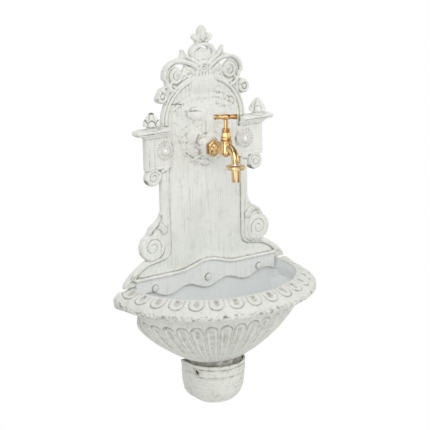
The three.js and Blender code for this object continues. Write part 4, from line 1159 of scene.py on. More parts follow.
    def carve_rosette(self, relief: Relief) -> None:
        """Carves the rosette's petals and its domed middle.

        Args:
            relief: The front to carve.
        """
        reach = self.rosette_radius + 2
        middle = np.array([self.rosette_x, self.rosette_height])
        part = relief.window(middle - reach, middle + reach)
        dx, dz = relief.x[part] - middle[0], relief.z[part] - middle[1]
        radius = np.hypot(dx, dz)
        seat = self.block_depth - 1.0 - relief.depth[part]
        relief.depth[part] += seat * eased((self.rosette_radius + 1.5 - radius) / 3)
        petals = 0.5 + 0.5 * np.cos(self.rosette_petals * np.arctan2(dz, dx))
        ring = eased((radius - 10.5) / 3) * eased((self.rosette_radius + 0.6 - radius) / 1.8)
        saucer = 2.2 * eased((self.rosette_radius - radius) / 2.0) - 1.2 * bump(radius - 9.5, 2.4)
        dome = 2.4 * bump(radius - 6.0, 2.2)
        relief.depth[part] += saucer + dome - 2.4 * ring * (1 - petals) ** 3

    def carve_scrolls(self, relief: Relief) -> None:
        """Carves the big volute, the shoulder leaf and the bracket curl.

        Args:
            relief: The front to carve.
        """
        x, z, radius = self.volute_x, self.volute_height, self.volute_radius
        relief.press(arc_line(x, z, radius, radius, 0, 350, 35), self.edge_depth + 1.5, 2.0)
        relief.groove(spiral_line(x, z, radius - 7.5, 4.0, 215, -1.5, 60), 3.0, 1.5, taper=0.3)
        relief.dome(x - 0.5, z - 0.5, 5.0, 5.0, self.edge_depth, 2.6)
        leaf = smooth_line([(94, 349), (102, 358), (114, 359), (126, 347)])
        relief.ridge(leaf, 13, 10, 14, taper=0.45, power=0.6)
        for shift in (-2.6, 0.4, 3.2):
            relief.groove(leaf + np.array([shift * 0.4, shift]), 1.6, 1.1, taper=0.4)
        relief.groove([(97, 372), (106, 361), (122, 351), (131, 343)], 2.2, 1.4)
        x, z, radius = self.curl_x, self.curl_height, self.curl_radius
        relief.press(arc_line(x, z, radius, radius, 0, 350, 30), self.edge_depth + 2, 2.0)
        relief.groove(spiral_line(x, z, radius - 5.0, 3.2, 170, -1.4, 44), 2.6, 1.5, taper=0.3)
        relief.dome(x, z, 3.6, 3.6, self.edge_depth + 1, 2.4)
        relief.ridge(smooth_line([(84, 464), (92, 462), (99, 457), (101, 448)], 12), 7, 11, 14, taper=0.3)

    def carve_crest(self, relief: Relief) -> None:
        """Carves the scrolls, leaves, medallion, shell and bud of the crest.

        Args:
            relief: The front to carve.
        """
        rise = smooth_line([(12, 638), (28, 649.5), (44, 656)], 10)[:-1]
        relief.ridge(np.concatenate([rise, arc_line(57, 630, 27.2, 26.4, 108, -6, 26)]), 7.4, 7, 13.5)
        rise = smooth_line([(17, 637.5), (29, 644.5), (44, 650.5)], 10)[:-1]
        relief.groove(np.concatenate([rise, arc_line(57, 630, 22.0, 21.2, 106, -12, 24)]), 3.2, 2.6)
        relief.ridge([(80, 622), (76, 613), (70, 606), (60, 602)], 9, 7, 12.5, taper=0.4)
        relief.groove([(77, 625), (72, 615), (64, 608), (54, 606)], 2.4, 2.2)
        relief.ridge([(12, 648), (26, 656), (37, 664), (44.2, 675)], 11.5, 7, 14, taper=0.82, power=0.6)
        relief.groove([(18, 649), (30, 656), (38, 663), (43.6, 672.5)], 2.6, 2.4, taper=0.3)
        relief.groove(arc_line(57, 630, 17.0, 16.4, 100, -110, 36), 3.0, 2.2)
        relief.ridge(spiral_line(57, 629, 14.0, 3.5, 70, -1.35, 48), 6.4, 8, 12.6, taper=0.4)
        relief.ridge([(68, 620), (72, 612), (66, 604)], 5.0, 8, 12.0, taper=0.4)
        relief.ridge(spiral_line(33, 632, 9.0, 2.4, 100, 1.2, 36), 5.2, 8, 12.4, taper=0.4)
        relief.dent(25.4, 631.2, 2.6, 3.2, 4.5)
        relief.groove([(42, 628), (48, 620), (56, 616)], 3.0, 2.2)
        relief.ridge([(22, 622), (36, 617), (48, 611), (60, 607)], 7, 7, 11.5, taper=0.3)
        self.carve_middle_of_crest(relief)
        relief.ridge(arc_line(90, 596.5, 8.2, 9.3, 132, -165, 30), 7.0, 8, 13.5, taper=0.3)
        relief.dome(90.5, 596, 4.2, 4.6, 8, 4.2)
        relief.groove(arc_line(90, 596.5, 4.9, 5.8, 120, -150, 24), 1.8, 1.4)
        relief.dent(81, 609.5, 3.0, 2.6, 3.2)
        relief.groove([(77, 612), (79.5, 604), (78, 594), (79, 585)], 2.4, 2.2)

    def carve_middle_of_crest(self, relief: Relief) -> None:
        """Carves the bud, the shell, the medallion and the plume on the centre line.

        Args:
            relief: The front to carve.
        """
        top = self.crest_top
        relief.dome(0, top - 14.5, 8.4, 13.8, 5, 10)
        relief.ridge(np.array([(0, top - 4), (0, top - 27)]), 3.6, 12, 16.5, taper=0.4)
        relief.groove([(3.2, top - 4), (6.0, top - 13), (4.2, top - 26)], 2.2, 2.6)
        relief.dome(14.5, 692.5, 7.4, 6.4, 6, 7, tilt=28)
        relief.ridge([(5, 687), (12, 689), (18, 695)], 3.0, 9, 13.5)
        relief.groove([(3, 690.5), (8, 693.5), (12.5, 697)], 2.0, 2.4)
        relief.groove(np.array([(0, 687), (10.5, 684)]), 2.2, 2.0)
        relief.ridge(arc_line(0, 667, 24, 14.2, -22, 90, 24), 8.4, 6, 13.5)
        relief.groove(arc_line(0, 666, 18.7, 13.4, -16, 90, 20), 2.4, 2.4)
        relief.dome(0, 660, 16, 12, 5, 6.5)
        for angle in (90, 68, 46, 24):
            tip = arc_line(0, 654, 15.5, 17, angle, angle, 1)[0]
            root = arc_line(0, 652, 3, 4, angle, angle, 1)[0]
            relief.groove(np.array([root, tip]), 2.0, 1.7)
        relief.dome(0, 650.5, 12, 8, 8, 6.5)
        relief.groove([(0, 654.5), (9, 653), (15, 648)], 2.2, 2.6)
        relief.press(arc_line(0, 641, 9, 9, 0, 350, 28), 9.0, 1.0)
        relief.ridge(arc_line(0, 641, 7.2, 7.4, 0, 360, 36), 4.2, 9, 15)
        relief.dome(0, 641, 4.4, 4.6, 9, 4.4)
        relief.dent(0, 641, 1.9, 1.9, 6.5)
        for start, end, width in ((0, 0, 6.0), (6.5, 8.5, 6.4), (13, 19, 6.8)):
            middle, low = start * 0.9 + end * 0.2, 606 + end * 0.5
            relief.ridge([(start, 633), (middle, 622), (end, low)], width, 8, 11.8, taper=0.5)
        for start, end in ((3.2, 4.2), (9.8, 13)):
            relief.groove([(start, 634), (start + 0.2, 622), (end, 609)], 2.4, 0.8)

    def carve_mask(self, relief: Relief) -> None:
        """Carves the lion: mane, brow, eye, nose, cheek, ear and open mouth.

        Args:
            relief: The front to carve.
        """
        zero = self.mask_height
        dx = relief.x / self.mask_half_width
        dz = (relief.z - zero) / self.mask_half_height
        angle = np.arctan2(dz, dx)
        tufts = 0.035 * (1 - np.cos(14 * angle)) + 0.02 * rough(relief.x, relief.z, 9, 3)
        radius = np.hypot(dx, dz) + tufts
        swell = np.sqrt(np.clip(1 - (radius / 1.03) ** 2, 0, 1))
        mane = 5.5 + 12.5 * swell
        flow = radius * 6.6 + 0.55 * np.sin(3 * angle + 0.8) + 0.45 * rough(relief.x, relief.z, 15, 5)
        locks = flow + 0.5 * np.sin(9 * angle + 2 * rough(relief.x, relief.z, 22, 7))
        strands = np.sin(2 * np.pi * locks) * 0.8 + np.sin(2 * np.pi * 2.6 * flow + 1.0) * 0.25
        mane = mane + strands * eased((1.0 - radius) / 0.12) * 1.15
        part = relief.window(np.array([-1, zero - 78]), np.array([68, zero + 78]))
        relief.raise_to(part, swell[part], mane[part], 1.2)
        for x, height, *form in (
            (0, 2, 42, 48, 13, 12, 0), (0, 28, 27, 20, 17, 10, 0), (0, 4, 9, 26, 25, 10, 0),
            (0, -14, 11, 7, 33, 6, 0), (0, -48, 19, 10, 20, 11, 0), (0, -58, 15, 12, 13, 9, 0),
            (21, 24, 22, 9, 22, 5, 14), (21, 13, 7, 4.5, 21, 5, 0), (29, -10, 15, 16, 17, 9, 0),
            (13, -27, 15, 12, 25, 12, 0),
        ):
            relief.dome(x, zero + height, *form, soft=3.0)
        self.carve_face(relief, zero)

    def carve_face(self, relief: Relief, zero: float) -> None:
        """Carves the finer lines of the lion's face.

        Args:
            relief: The front to carve.
            zero: Height of the middle of the mask.
        """
        x, z = 21.5, zero + 12.5
        relief.dent(x - 6.5, z + 1.5, 5, 5, 3.0)
        relief.dent(x + 8, z + 1, 5, 4, 2.2)
        relief.dome(x, z, 5.6, 4.2, 21.5, 4.6, 8, soft=0.5)
        for tilt, lift in ((8, 1.8), (-8, -3.6)):
            lid = smooth_line([
                (x - 8, z + lift * 0.2 - 1.5), (x - 2, z + lift + tilt * 0.15),
                (x + 5, z + lift + tilt * 0.1), (x + 9.5, z + 1.2),
            ])
            relief.ridge(lid, 2.6, 21, 25.2, soft=0.5)
            relief.groove(lid + np.array([0, tilt * 0.28]), 1.6, 1.3)
        relief.dent(x + 1, z + 0.3, 1.4, 1.4, 1.2)
        relief.dent(6.5, zero - 17, 3.0, 2.0, 3.5, 25)
        relief.groove([(9, zero - 7), (18, zero - 11), (24, zero - 20), (27, zero - 32)], 4.5, 2.6)
        relief.dent(27, zero - 24, 7.5, 6, 3.6, 30)
        for low in (zero, zero - 4, zero - 8):
            relief.groove([(13, zero - 19 + (low - zero) * 0.6), (21, low - 22), (26, low - 27)], 1.4, 0.7)
        relief.press(arc_line(0, self.mouth_height, 20, 20, 0, 350, 36), self.mouth_depth, 4.0)
        relief.ridge(arc_line(0, self.mouth_height, 17.8, 17.8, 0, 360, 48), 4.0, 31, 35.5)
        for start, end in ((12, 16), (5, 7), (2, 2), (9, 10), (15, 19)):
            tuft = [(start * 1.4, zero - 52), (end * 1.5 + 2, zero - 62), (end * 1.2, zero - 72)]
            relief.groove(smooth_line(tuft, 8), 2.2, 1.5, taper=0.5)
        relief.groove([(0, zero - 56), (9, zero - 54), (17, zero - 46)], 2.6, 2.0)
        for step in range(9):
            angle = 205 + step * 17
            root = arc_line(0, zero - 4, 40, 46, angle, angle, 1)[0]
            tip = arc_line(0, zero, 60, 70, angle + 14, angle + 14, 1)[0]
            bend = (root + tip) / 2 + np.array([4, -5])
            relief.ridge(smooth_line([root, bend, tip], 10), 8, 11, 17, taper=0.6, soft=1.5)
        relief.ridge(arc_line(54, zero + 41, 6.0, 8.0, 210, -40, 20), 4.6, 10, 14)

    def carve_mane_lines(self, relief: Relief) -> None:
        """Carves the soft strands that sweep over the lion's forehead.

        Args:
            relief: The front to carve.
        """
        for strand in (
            ((56, 588), (38, 599), (18, 604), (-2, 605)), ((64, 576), (42, 588), (20, 593), (-2, 594)),
            ((66, 565), (46, 576), (22, 583), (-2, 584)), ((58, 558), (40, 566), (24, 571), (8, 570)),
            ((66, 545), (54, 536), (46, 520), (44, 505)), ((58, 520), (50, 508), (42, 494), (30, 484)),
            ((54, 530), (42, 537), (32, 543), (20, 547)), ((50, 518), (40, 526), (28, 534), (16, 538)),
            ((44, 506), (36, 514), (28, 524), (18, 530)), ((44, 488), (32, 482), (20, 474), (6, 470)),
        ):
            relief.groove(smooth_line(list(strand)), 6.0, 0.9, taper=0.3)

    def carve_lip(self, relief: Relief) -> None:
        """Carves the panel's flare and the lip that the lap hangs from.

        Args:
            relief: The front to carve.
        """
        line = self.lip_line(relief.x)
        above = relief.z - line
        inside = (relief.x < self.lap_half_width) & (relief.z < line + 30)
        flare = 3.2 * eased(1 - above / 24) ** 1.5
        relief.depth += np.where(inside, flare, 0) * eased((self.lap_half_width - relief.x) / 14)
        xs = np.linspace(-6, self.lap_half_width, 90)
        relief.ridge(np.stack([xs, self.lip_line(xs) + 3.2], axis=1), 6.6, 9, self.lip_depth, power=0.6)
        below = (above < 0.6) & (relief.x < self.lap_half_width)
        relief.depth[below] = 7.0

    def relief(self) -> tuple[Relief, Grid]:
        """Carves the whole front on the right half.

        Returns:
            The carved front, and the signed distance to the outline.
        """
        step = self.foot_half_width / self.columns
        xs = np.linspace(0, self.foot_half_width, self.columns + 1)
        rows = int(round((self.crest_top - self.foot_bottom) / step)) + 2
        zs = np.linspace(self.foot_bottom, self.crest_top + 1, rows)
        x, z = np.meshgrid(xs, zs)
        relief = Relief(x, z, np.full(x.shape, self.panel_depth))
        distance = self.outline_distance(x, z)
        self.carve_mask(relief)
        relief.calm(self.block_bottom - 20, 5, 0.3)
        self.carve_mane_lines(relief)
        self.carve_crest(relief)
        relief.calm(self.arch_top - 40, 2, 0.45)
        self.carve_border(relief)
        self.carve_block(relief)
        self.carve_scrolls(relief)
        self.carve_lip(relief)
        relief.depth -= self.edge_drop(distance)
        return relief, distance

    def edge_drop(self, distance: Grid) -> Grid:
        """How far the front falls away at its rounded edges, from the distance to the outline."""
        return 2.2 * np.clip(1 + distance / 2.6, 0, 1) ** 2

    def stains_and_shade(self, x: Grid, z: Grid) -> Grid:
        """Dark lines and spots on both sides: worn paint and grime, and painted shade under the curls, the
        volutes, the scroll tops and the tap's wall nut.

        Args:
            x: Places across.
            z: Heights.

        Returns:
            Strength of the dark mark between 0 and 1.
        """
        # Some strokes are worn paint and grime; those under the curls, the volutes, the scroll tops and the
        # wall nut are painted shade.
        strokes = [
            ([(-20, 642), (-45, 650), (-60, 651), (-75, 648), (-85, 640)], 1.8, 0.55),
            ([(20, 642), (45, 650), (60, 651), (75, 648)], 1.8, 0.45),
            ([(-44, 674), (-38, 665), (-28, 656)], 1.8, 0.55),
            ([(45, 675), (44, 668), (40, 662)], 1.8, 0.65),
            ([(4, 707), (5, 698)], 2.2, 0.5),
            ([(0, 641), (0.5, 641.5)], 2.0, 1.0),
            ([(-26, 631), (-25.5, 630)], 2.6, 0.7),
            ([(26, 631), (25.5, 630)], 2.6, 0.7),
            ([(-4, 655), (12, 656)], 2.2, 0.6),
            ([(-93, 606), (-91, 604)], 3.0, 0.8),
            ([(-101, 592), (-99, 588)], 3.0, 0.6),
            ([(-79, 610), (-80, 604)], 2.6, 0.7),
            ([(-72, 579), (-62, 579.5), (-51, 578)], 2.4, 0.9),
            ([(-36, 564), (-26, 564.5), (-17, 563)], 2.0, 0.75),
            ([(-24, 573), (-14, 571), (-5, 566)], 3.0, 0.45),
            ([(52, 579), (61, 580), (67, 574), (65, 564)], 1.7, 0.85),
            ([(27, 573), (29, 573)], 2.0, 0.5),
            ([(44, 563), (46, 563)], 2.0, 0.5),
            ([(-24, 521), (-28, 511), (-25, 502)], 6.5, 0.64),
            ([(-44, 487), (-36, 482), (-27, 475)], 5.0, 0.66),
            ([(-20, 482), (-8, 475), (2, 469), (12, 470)], 1.6, 0.75),
            ([(-22, 470), (-10, 461), (-2, 460), (8, 467)], 2.2, 0.45),
            ([(-58, 512), (-54, 504)], 5.0, 0.52),
            ([(6, 512), (10, 508)], 4.0, 0.7),
            ([(-146, 533), (-120, 533), (-95, 534)], 2.6, 0.55),
            ([(-150, 530), (-146, 528)], 3.0, 0.5),
            ([(-124, 505), (-124, 480), (-124, 468)], 2.2, 0.55),
            ([(-110, 466), (-90, 467)], 2.4, 0.5),
            ([(95, 466), (110, 468)], 2.2, 0.5),
            ([(-129, 447), (-124, 438), (-114, 434), (-104, 437)], 3.2, 0.75),
            ([(100, 444), (105, 438), (114, 434), (124, 438), (129, 447)], 3.4, 0.9),
            ([(-98, 378), (-104, 366), (-118, 354), (-126, 346)], 3.2, 0.7),
            ([(104, 368), (118, 355), (126, 347)], 2.6, 0.5),
            ([(-144, 312), (-138, 301), (-128, 295)], 3.0, 0.6),
            ([(-94, 318), (-97, 306), (-108, 299)], 3.0, 0.7),
            ([(84, 318), (88, 303), (104, 295), (128, 292)], 2.6, 0.7),
            ([(78, 318), (82, 300), (100, 288)], 2.2, 0.5),
            ([(-152, 276), (-162, 270), (-168, 262)], 3.0, 0.6),
            ([(-160, 279), (-170, 268)], 3.0, 0.5),
        ]
        front = Relief(x, z, np.zeros(x.shape))
        for points, width, strength in strokes:
            line = smooth_line(points, 6 * (len(points) - 1))
            part, distance, _ = front.along(line, 3 * width)
            front.depth[part] = np.maximum(front.depth[part], strength * bump(distance, 0.6 * width))
        return front.depth

    def build_plate(self) -> Piece:
        """Builds the main plate from its carved front."""
        half, half_distance = self.relief()
        x, z, depth, distance = (
            np.concatenate([values[:, :0:-1], values], axis=1)
            for values in (half.x, half.z, half.depth, half_distance)
        )
        x = x * np.where(np.arange(x.shape[1]) < self.columns, -1, 1)
        depth = depth + 0.16 * rough(x, z, 7, 11) + 0.12 * rough(x, z, 3, 12) + 0.25 * rough(x, z, 24, 13)
        carved = depth + self.edge_drop(distance)
        inward = eased(-distance / 4.5)
        up = (z - self.mask_height) / self.mask_half_height
        calm = 1 - 0.25 * eased(1.6 - np.hypot(x / self.mask_half_width, up))
        calm *= 1 - 0.3 * eased((z - self.arch_top + 20) / 20)
        patch = bump(np.hypot((x - 34) / 16, (z - 583) / 11), 1.0) * np.clip(rough(x, z, 2.6, 14), 0, 1)
        hollows = np.clip((carved - blurred(carved, 2)) / 0.9, -1.5, 1.5) * inward * calm - 1.7 * patch
        marks = {"relief": hollows, "stain_and_shade": self.stains_and_shade(x, z), "shade": 0.0}
        slope_z, slope_x = np.gradient(distance, z[1, 0] - z[0, 0], x[0, 1] - x[0, 0])
        steep = np.maximum(np.hypot(slope_x, slope_z), 0.5)
        middle = (distance[1:, 1:] + distance[1:, :-1] + distance[:-1, 1:] + distance[:-1, :-1]) / 4
        keep = middle < 0
        full = np.zeros(x.shape, int)
        for rows in (slice(0, -1), slice(1, None)):
            for columns in (slice(0, -1), slice(1, None)):
                full[rows, columns] += keep
        rim = (full > 0) & (full < 4)
        rim[[0, -1], :] |= full[[0, -1], :] > 0
        shift = np.clip(np.where(rim, distance, 0), -1.2, 1.2)
        snapped_x = x - shift * slope_x / steep
        snapped_z = np.maximum(z - shift * slope_z / steep, self.foot_bottom)
        plate = grid_piece("backplate_cast", in_frame(snapped_x, depth, snapped_z), marks)
        give_back(plate, self.face_order(plate, keep), 0.0)
        self.hollow_blocks(plate)
        return plate

    def hollow_blocks(self, plate: Piece) -> None:
        """Sinks a pocket behind each block, so that light comes through the rosettes' screw holes.

        Args:
            plate: The backplate.
        """
        low, high = self.block_bottom + 12, self.block_top - 4
        inner, outer = self.rosette_x - 6, self.block_outer - 5
        centre = self.rosette_height
        for name, near, far, bottom, top, deep in (
            ("pocket", inner, outer, low, high, self.pocket_depth),
            ("notch", inner - 8, inner + 2, centre - 11, centre + 7, self.pocket_depth),
            ("well", self.rosette_x - 6, self.rosette_x + 6, centre - 6, centre + 6, self.well_depth),
        ):
            size = (far - near, 2 * deep, top - bottom)
            x, height = (near + far) / 2, (bottom + top) / 2
            cutters = [block(name, size, side * x, 0, height) for side in (-1, 1)]
            cut_away(plate, joined(cutters, name))

    def face_order(self, piece: Piece, keep: Grid) -> Grid:
        """Puts a truth value for each cell in the order of the piece's faces.

        Args:
            piece: A grid piece whose faces run along its rows.
            keep: Truth values as rows of cells.

        Returns:
            One truth value for each face.
        """
        across = keep.shape[1] + 1
        corner = np.empty(len(piece.data.loops), int)
        piece.data.loops.foreach_get("vertex_index", corner)
        lowest = corner.reshape(-1, 4).min(axis=1)
        return keep[lowest // across, lowest % across]

    def build_lap(self) -> Piece:
        """Builds the wavy strip that hangs in front of the basin's back wall."""
        half_width = self.lap_half_width
        x, share = np.meshgrid(np.linspace(-half_width, half_width, 200), np.linspace(0, 1, 30))
        low, high = self.lap_edge(x), self.lip_line(x) + 1.2
        z = low + (high - low) * share
        depth = np.full(x.shape, self.lap_front)
        depth -= 1.4 * np.clip(1 - (z - low) / 2.4, 0, 1) ** 2
        depth -= 1.2 * np.clip(1 - (self.lap_half_width - np.abs(x)) / 2.2, 0, 1) ** 2
        depth += 0.25 * rough(x, z, 14, 21) + 0.1 * rough(x, z, 4, 22)
        around = np.full(x.shape, np.inf)
        for bolt_x in (-self.bolt_x, 0.0, self.bolt_x):
            around = np.minimum(around, np.hypot(x - bolt_x, z - self.bolt_height))
        # Painted shade: a dark ring around each bolt head, a dark band just under the lip, a dark line along
        # the wavy lower edge, and the shade tint over the strip.
        marks = {
            "relief": -0.75 * bump(around - 6.8, 1.6) - 0.35 * bump(high - z, 3.0),
            "stain_and_shade": 0.6 * bump(around - 6.6, 1.2) + 0.7 * bump(z - low, 1.4),
            "shade": 0.6,
        }
        lap = grid_piece("lap", in_frame(x, depth, z), marks)
        give_back(lap, np.ones(len(lap.data.polygons), bool), self.lap_back)
        return lap

    def build_cone(self, side: int) -> Piece:
        """Builds the leafy cone that stands on a cornice.

        Args:
            side: -1 for the left, 1 for the right.

        Returns:
            The cone.
        """
        foot = self.cornice_top - 1.5
        profile = smooth_line([
            (0.01, 0), (11, 0), (10.5, 4), (9.5, 7), (16.2, 8.2), (17, 11), (15.4, 15), (11.8, 21), (7, 27),
            (3, 31), (0.01, 32),
        ], 60)
        angle = np.linspace(0, 2 * np.pi, 73)
        height = np.repeat(profile[:, [1]], len(angle), axis=1)
        leafy = eased((height - 7.5) / 3) * eased((32 - height) / 6)
        lobes = np.abs(np.cos(3 * angle)) ** 0.7
        radius = profile[:, [0]] * (1 - leafy * 0.26 * (1 - lobes))
        ripple = 0.5 * rough(angle[None, :] * 14 + side * 50, height, 2.6, 31) * leafy
        radius = np.maximum(radius + ripple * np.sin(angle / 2) ** 0.2, 0)
        x = side * self.cone_x + radius * np.cos(angle)
        depth = np.maximum(self.cone_depth + radius * np.sin(angle), 0.2)
        collars = 0.6 * bump(height - 8, 2.0) + 0.9 * bump(height - 30.5, 2.4)
        stain_and_shade = collars + bump(height - 11.5 - 7.5 * lobes, 1.5)
        marks = {
            "relief": leafy * (1.4 * lobes - 1.0),
            "stain_and_shade": stain_and_shade * (self.left_cone_dirt if side < 0 else self.right_cone_dirt),
            "shade": 0.0,
        }
        cone = grid_piece("cone", in_frame(x, depth, height + foot), marks)
        close_seams(cone)
        return cone

    def build(self, paint: Material) -> Piece:
        """Builds the whole backplate and dresses it.

        Args:
            paint: The casting's paint.

        Returns:
            The backplate.
        """
        parts = [self.build_plate(), self.build_lap(), self.build_cone(-1), self.build_cone(1)]
        plate = joined(parts, "backplate_cast")
        shade_round(plate)
        return finished(plate, Body.FOUNTAIN, Slot.CAST_PAINT, paint, "backplate")


@dataclass
class Level:
    """One height of a lofted D-shape."""

    half_width: float
    front: float
    straight: float
    height: float


@dataclass
class Loft:
    """Closed skin of D-shaped rings: flat at the wall, with straight sides and a half-round front."""

    widest: Level
    around: int = 420
    across: int = 36

    def __post_init__(self) -> None:
        """Takes even steps along the front of the widest ring."""
        half_width, front, straight = self.widest.half_width, self.widest.front, self.widest.straight
        fine = np.linspace(0, np.pi, 1201)
        x = np.concatenate([[half_width], half_width * np.cos(fine), [-half_width]])
        y = np.concatenate([[0], straight + (front - straight) * np.sin(fine), [0]])
        length = np.concatenate([[0], np.cumsum(np.hypot(np.diff(x), np.diff(y)))])
        at = np.linspace(0, length[-1], self.around + 1)
        self.angle = np.interp(at, length, np.concatenate([[0], fine, [np.pi]]))
        self.side = np.clip(np.minimum(at, length[-1] - at) / length[1], 0, 1)
        self.rings, self.heights, self.reliefs, self.shades = [], [], [], []

    def keep(self, ring: Grid, height: float, relief: Grid, shade: float) -> None:
        """Keeps a ring.

        Args:
            ring: Its places, as rows of x and depth.
            height: Its height.
            relief: How far each place is carved outwards.
            shade: Share of the painted shade tint.
        """
        self.rings.append(ring)
        self.heights.append(height)
        self.reliefs.append(relief)
        self.shades.append(shade)

    def add(self, level: Level, relief: Grid | float = 0.0, back: float = 0.0, shade: float = 0.0) -> None:
        """Adds a D-shaped ring.

        Args:
            level: Size and height of the ring.
            relief: Outward shift of each step along its front.
            back: Depth of its flat side.
            shade: Share of the painted shade tint.
        """
        reach = level.front - level.straight
        normal_x, normal_y = np.cos(self.angle) / level.half_width, np.sin(self.angle) / max(reach, 1.0)
        size = np.hypot(normal_x, normal_y)
        x = level.half_width * np.cos(self.angle) + relief * normal_x / size
        depth = level.straight * self.side + reach * np.sin(self.angle) + relief * normal_y / size
        chord = np.linspace(x[-1], x[0], self.across + 1)[1:]
        depths = np.concatenate([np.maximum(depth, back), np.full(len(chord), back)])
        ring = np.stack([np.concatenate([x, chord]), depths], axis=1)
        self.keep(ring, level.height, np.concatenate([relief + 0 * x, 0 * chord]), shade)

    def add_circle(self, radius: float, depth: float, height: float, relief: float, shade: float) -> None:
        """Adds a round ring with one place for each place of the ring before.

        Args:
            radius: Radius of the ring.
            depth: Depth of its middle.
            height: Its height.
            relief: How far it counts as carved outwards.
            shade: Share of the painted shade tint.
        """
        last = self.rings[-1]
        angle = np.arctan2(last[:, 1] - depth, last[:, 0])
        ring = np.stack([radius * np.cos(angle), depth + radius * np.sin(angle)], axis=1)
        self.keep(ring, height, relief + 0 * angle, shade)

    def close_ends(self, drop: float) -> None:
        """Draws the first and the last ring to a point each.

        Args:
            drop: How far the first point lies below its ring.
        """
        first, last = (
            np.stack([0 * ring[:, 0], np.full(len(ring), ring[:, 1].mean())], axis=1)
            for ring in (self.rings[0], self.rings[-1])
        )
        self.rings = [first, *self.rings, last]
        self.heights = [self.heights[0] - drop, *self.heights, self.heights[-1]]
        self.reliefs = [self.reliefs[0], *self.reliefs, self.reliefs[-1]]
        self.shades = [self.shades[0], *self.shades, self.shades[-1]]

    def stacked(self) -> tuple[Grid, Grid, Grid, Grid, Grid]:
        """Grids with a row for each ring.

        Returns:
            Places across, depths, heights, reliefs and shades.
        """
        places = np.array(self.rings)
        rows = np.zeros(places.shape[:2])
        heights, shades = (rows + np.array(values)[:, None] for values in (self.heights, self.shades))
        return places[..., 0], places[..., 1], heights, np.array(self.reliefs), shades


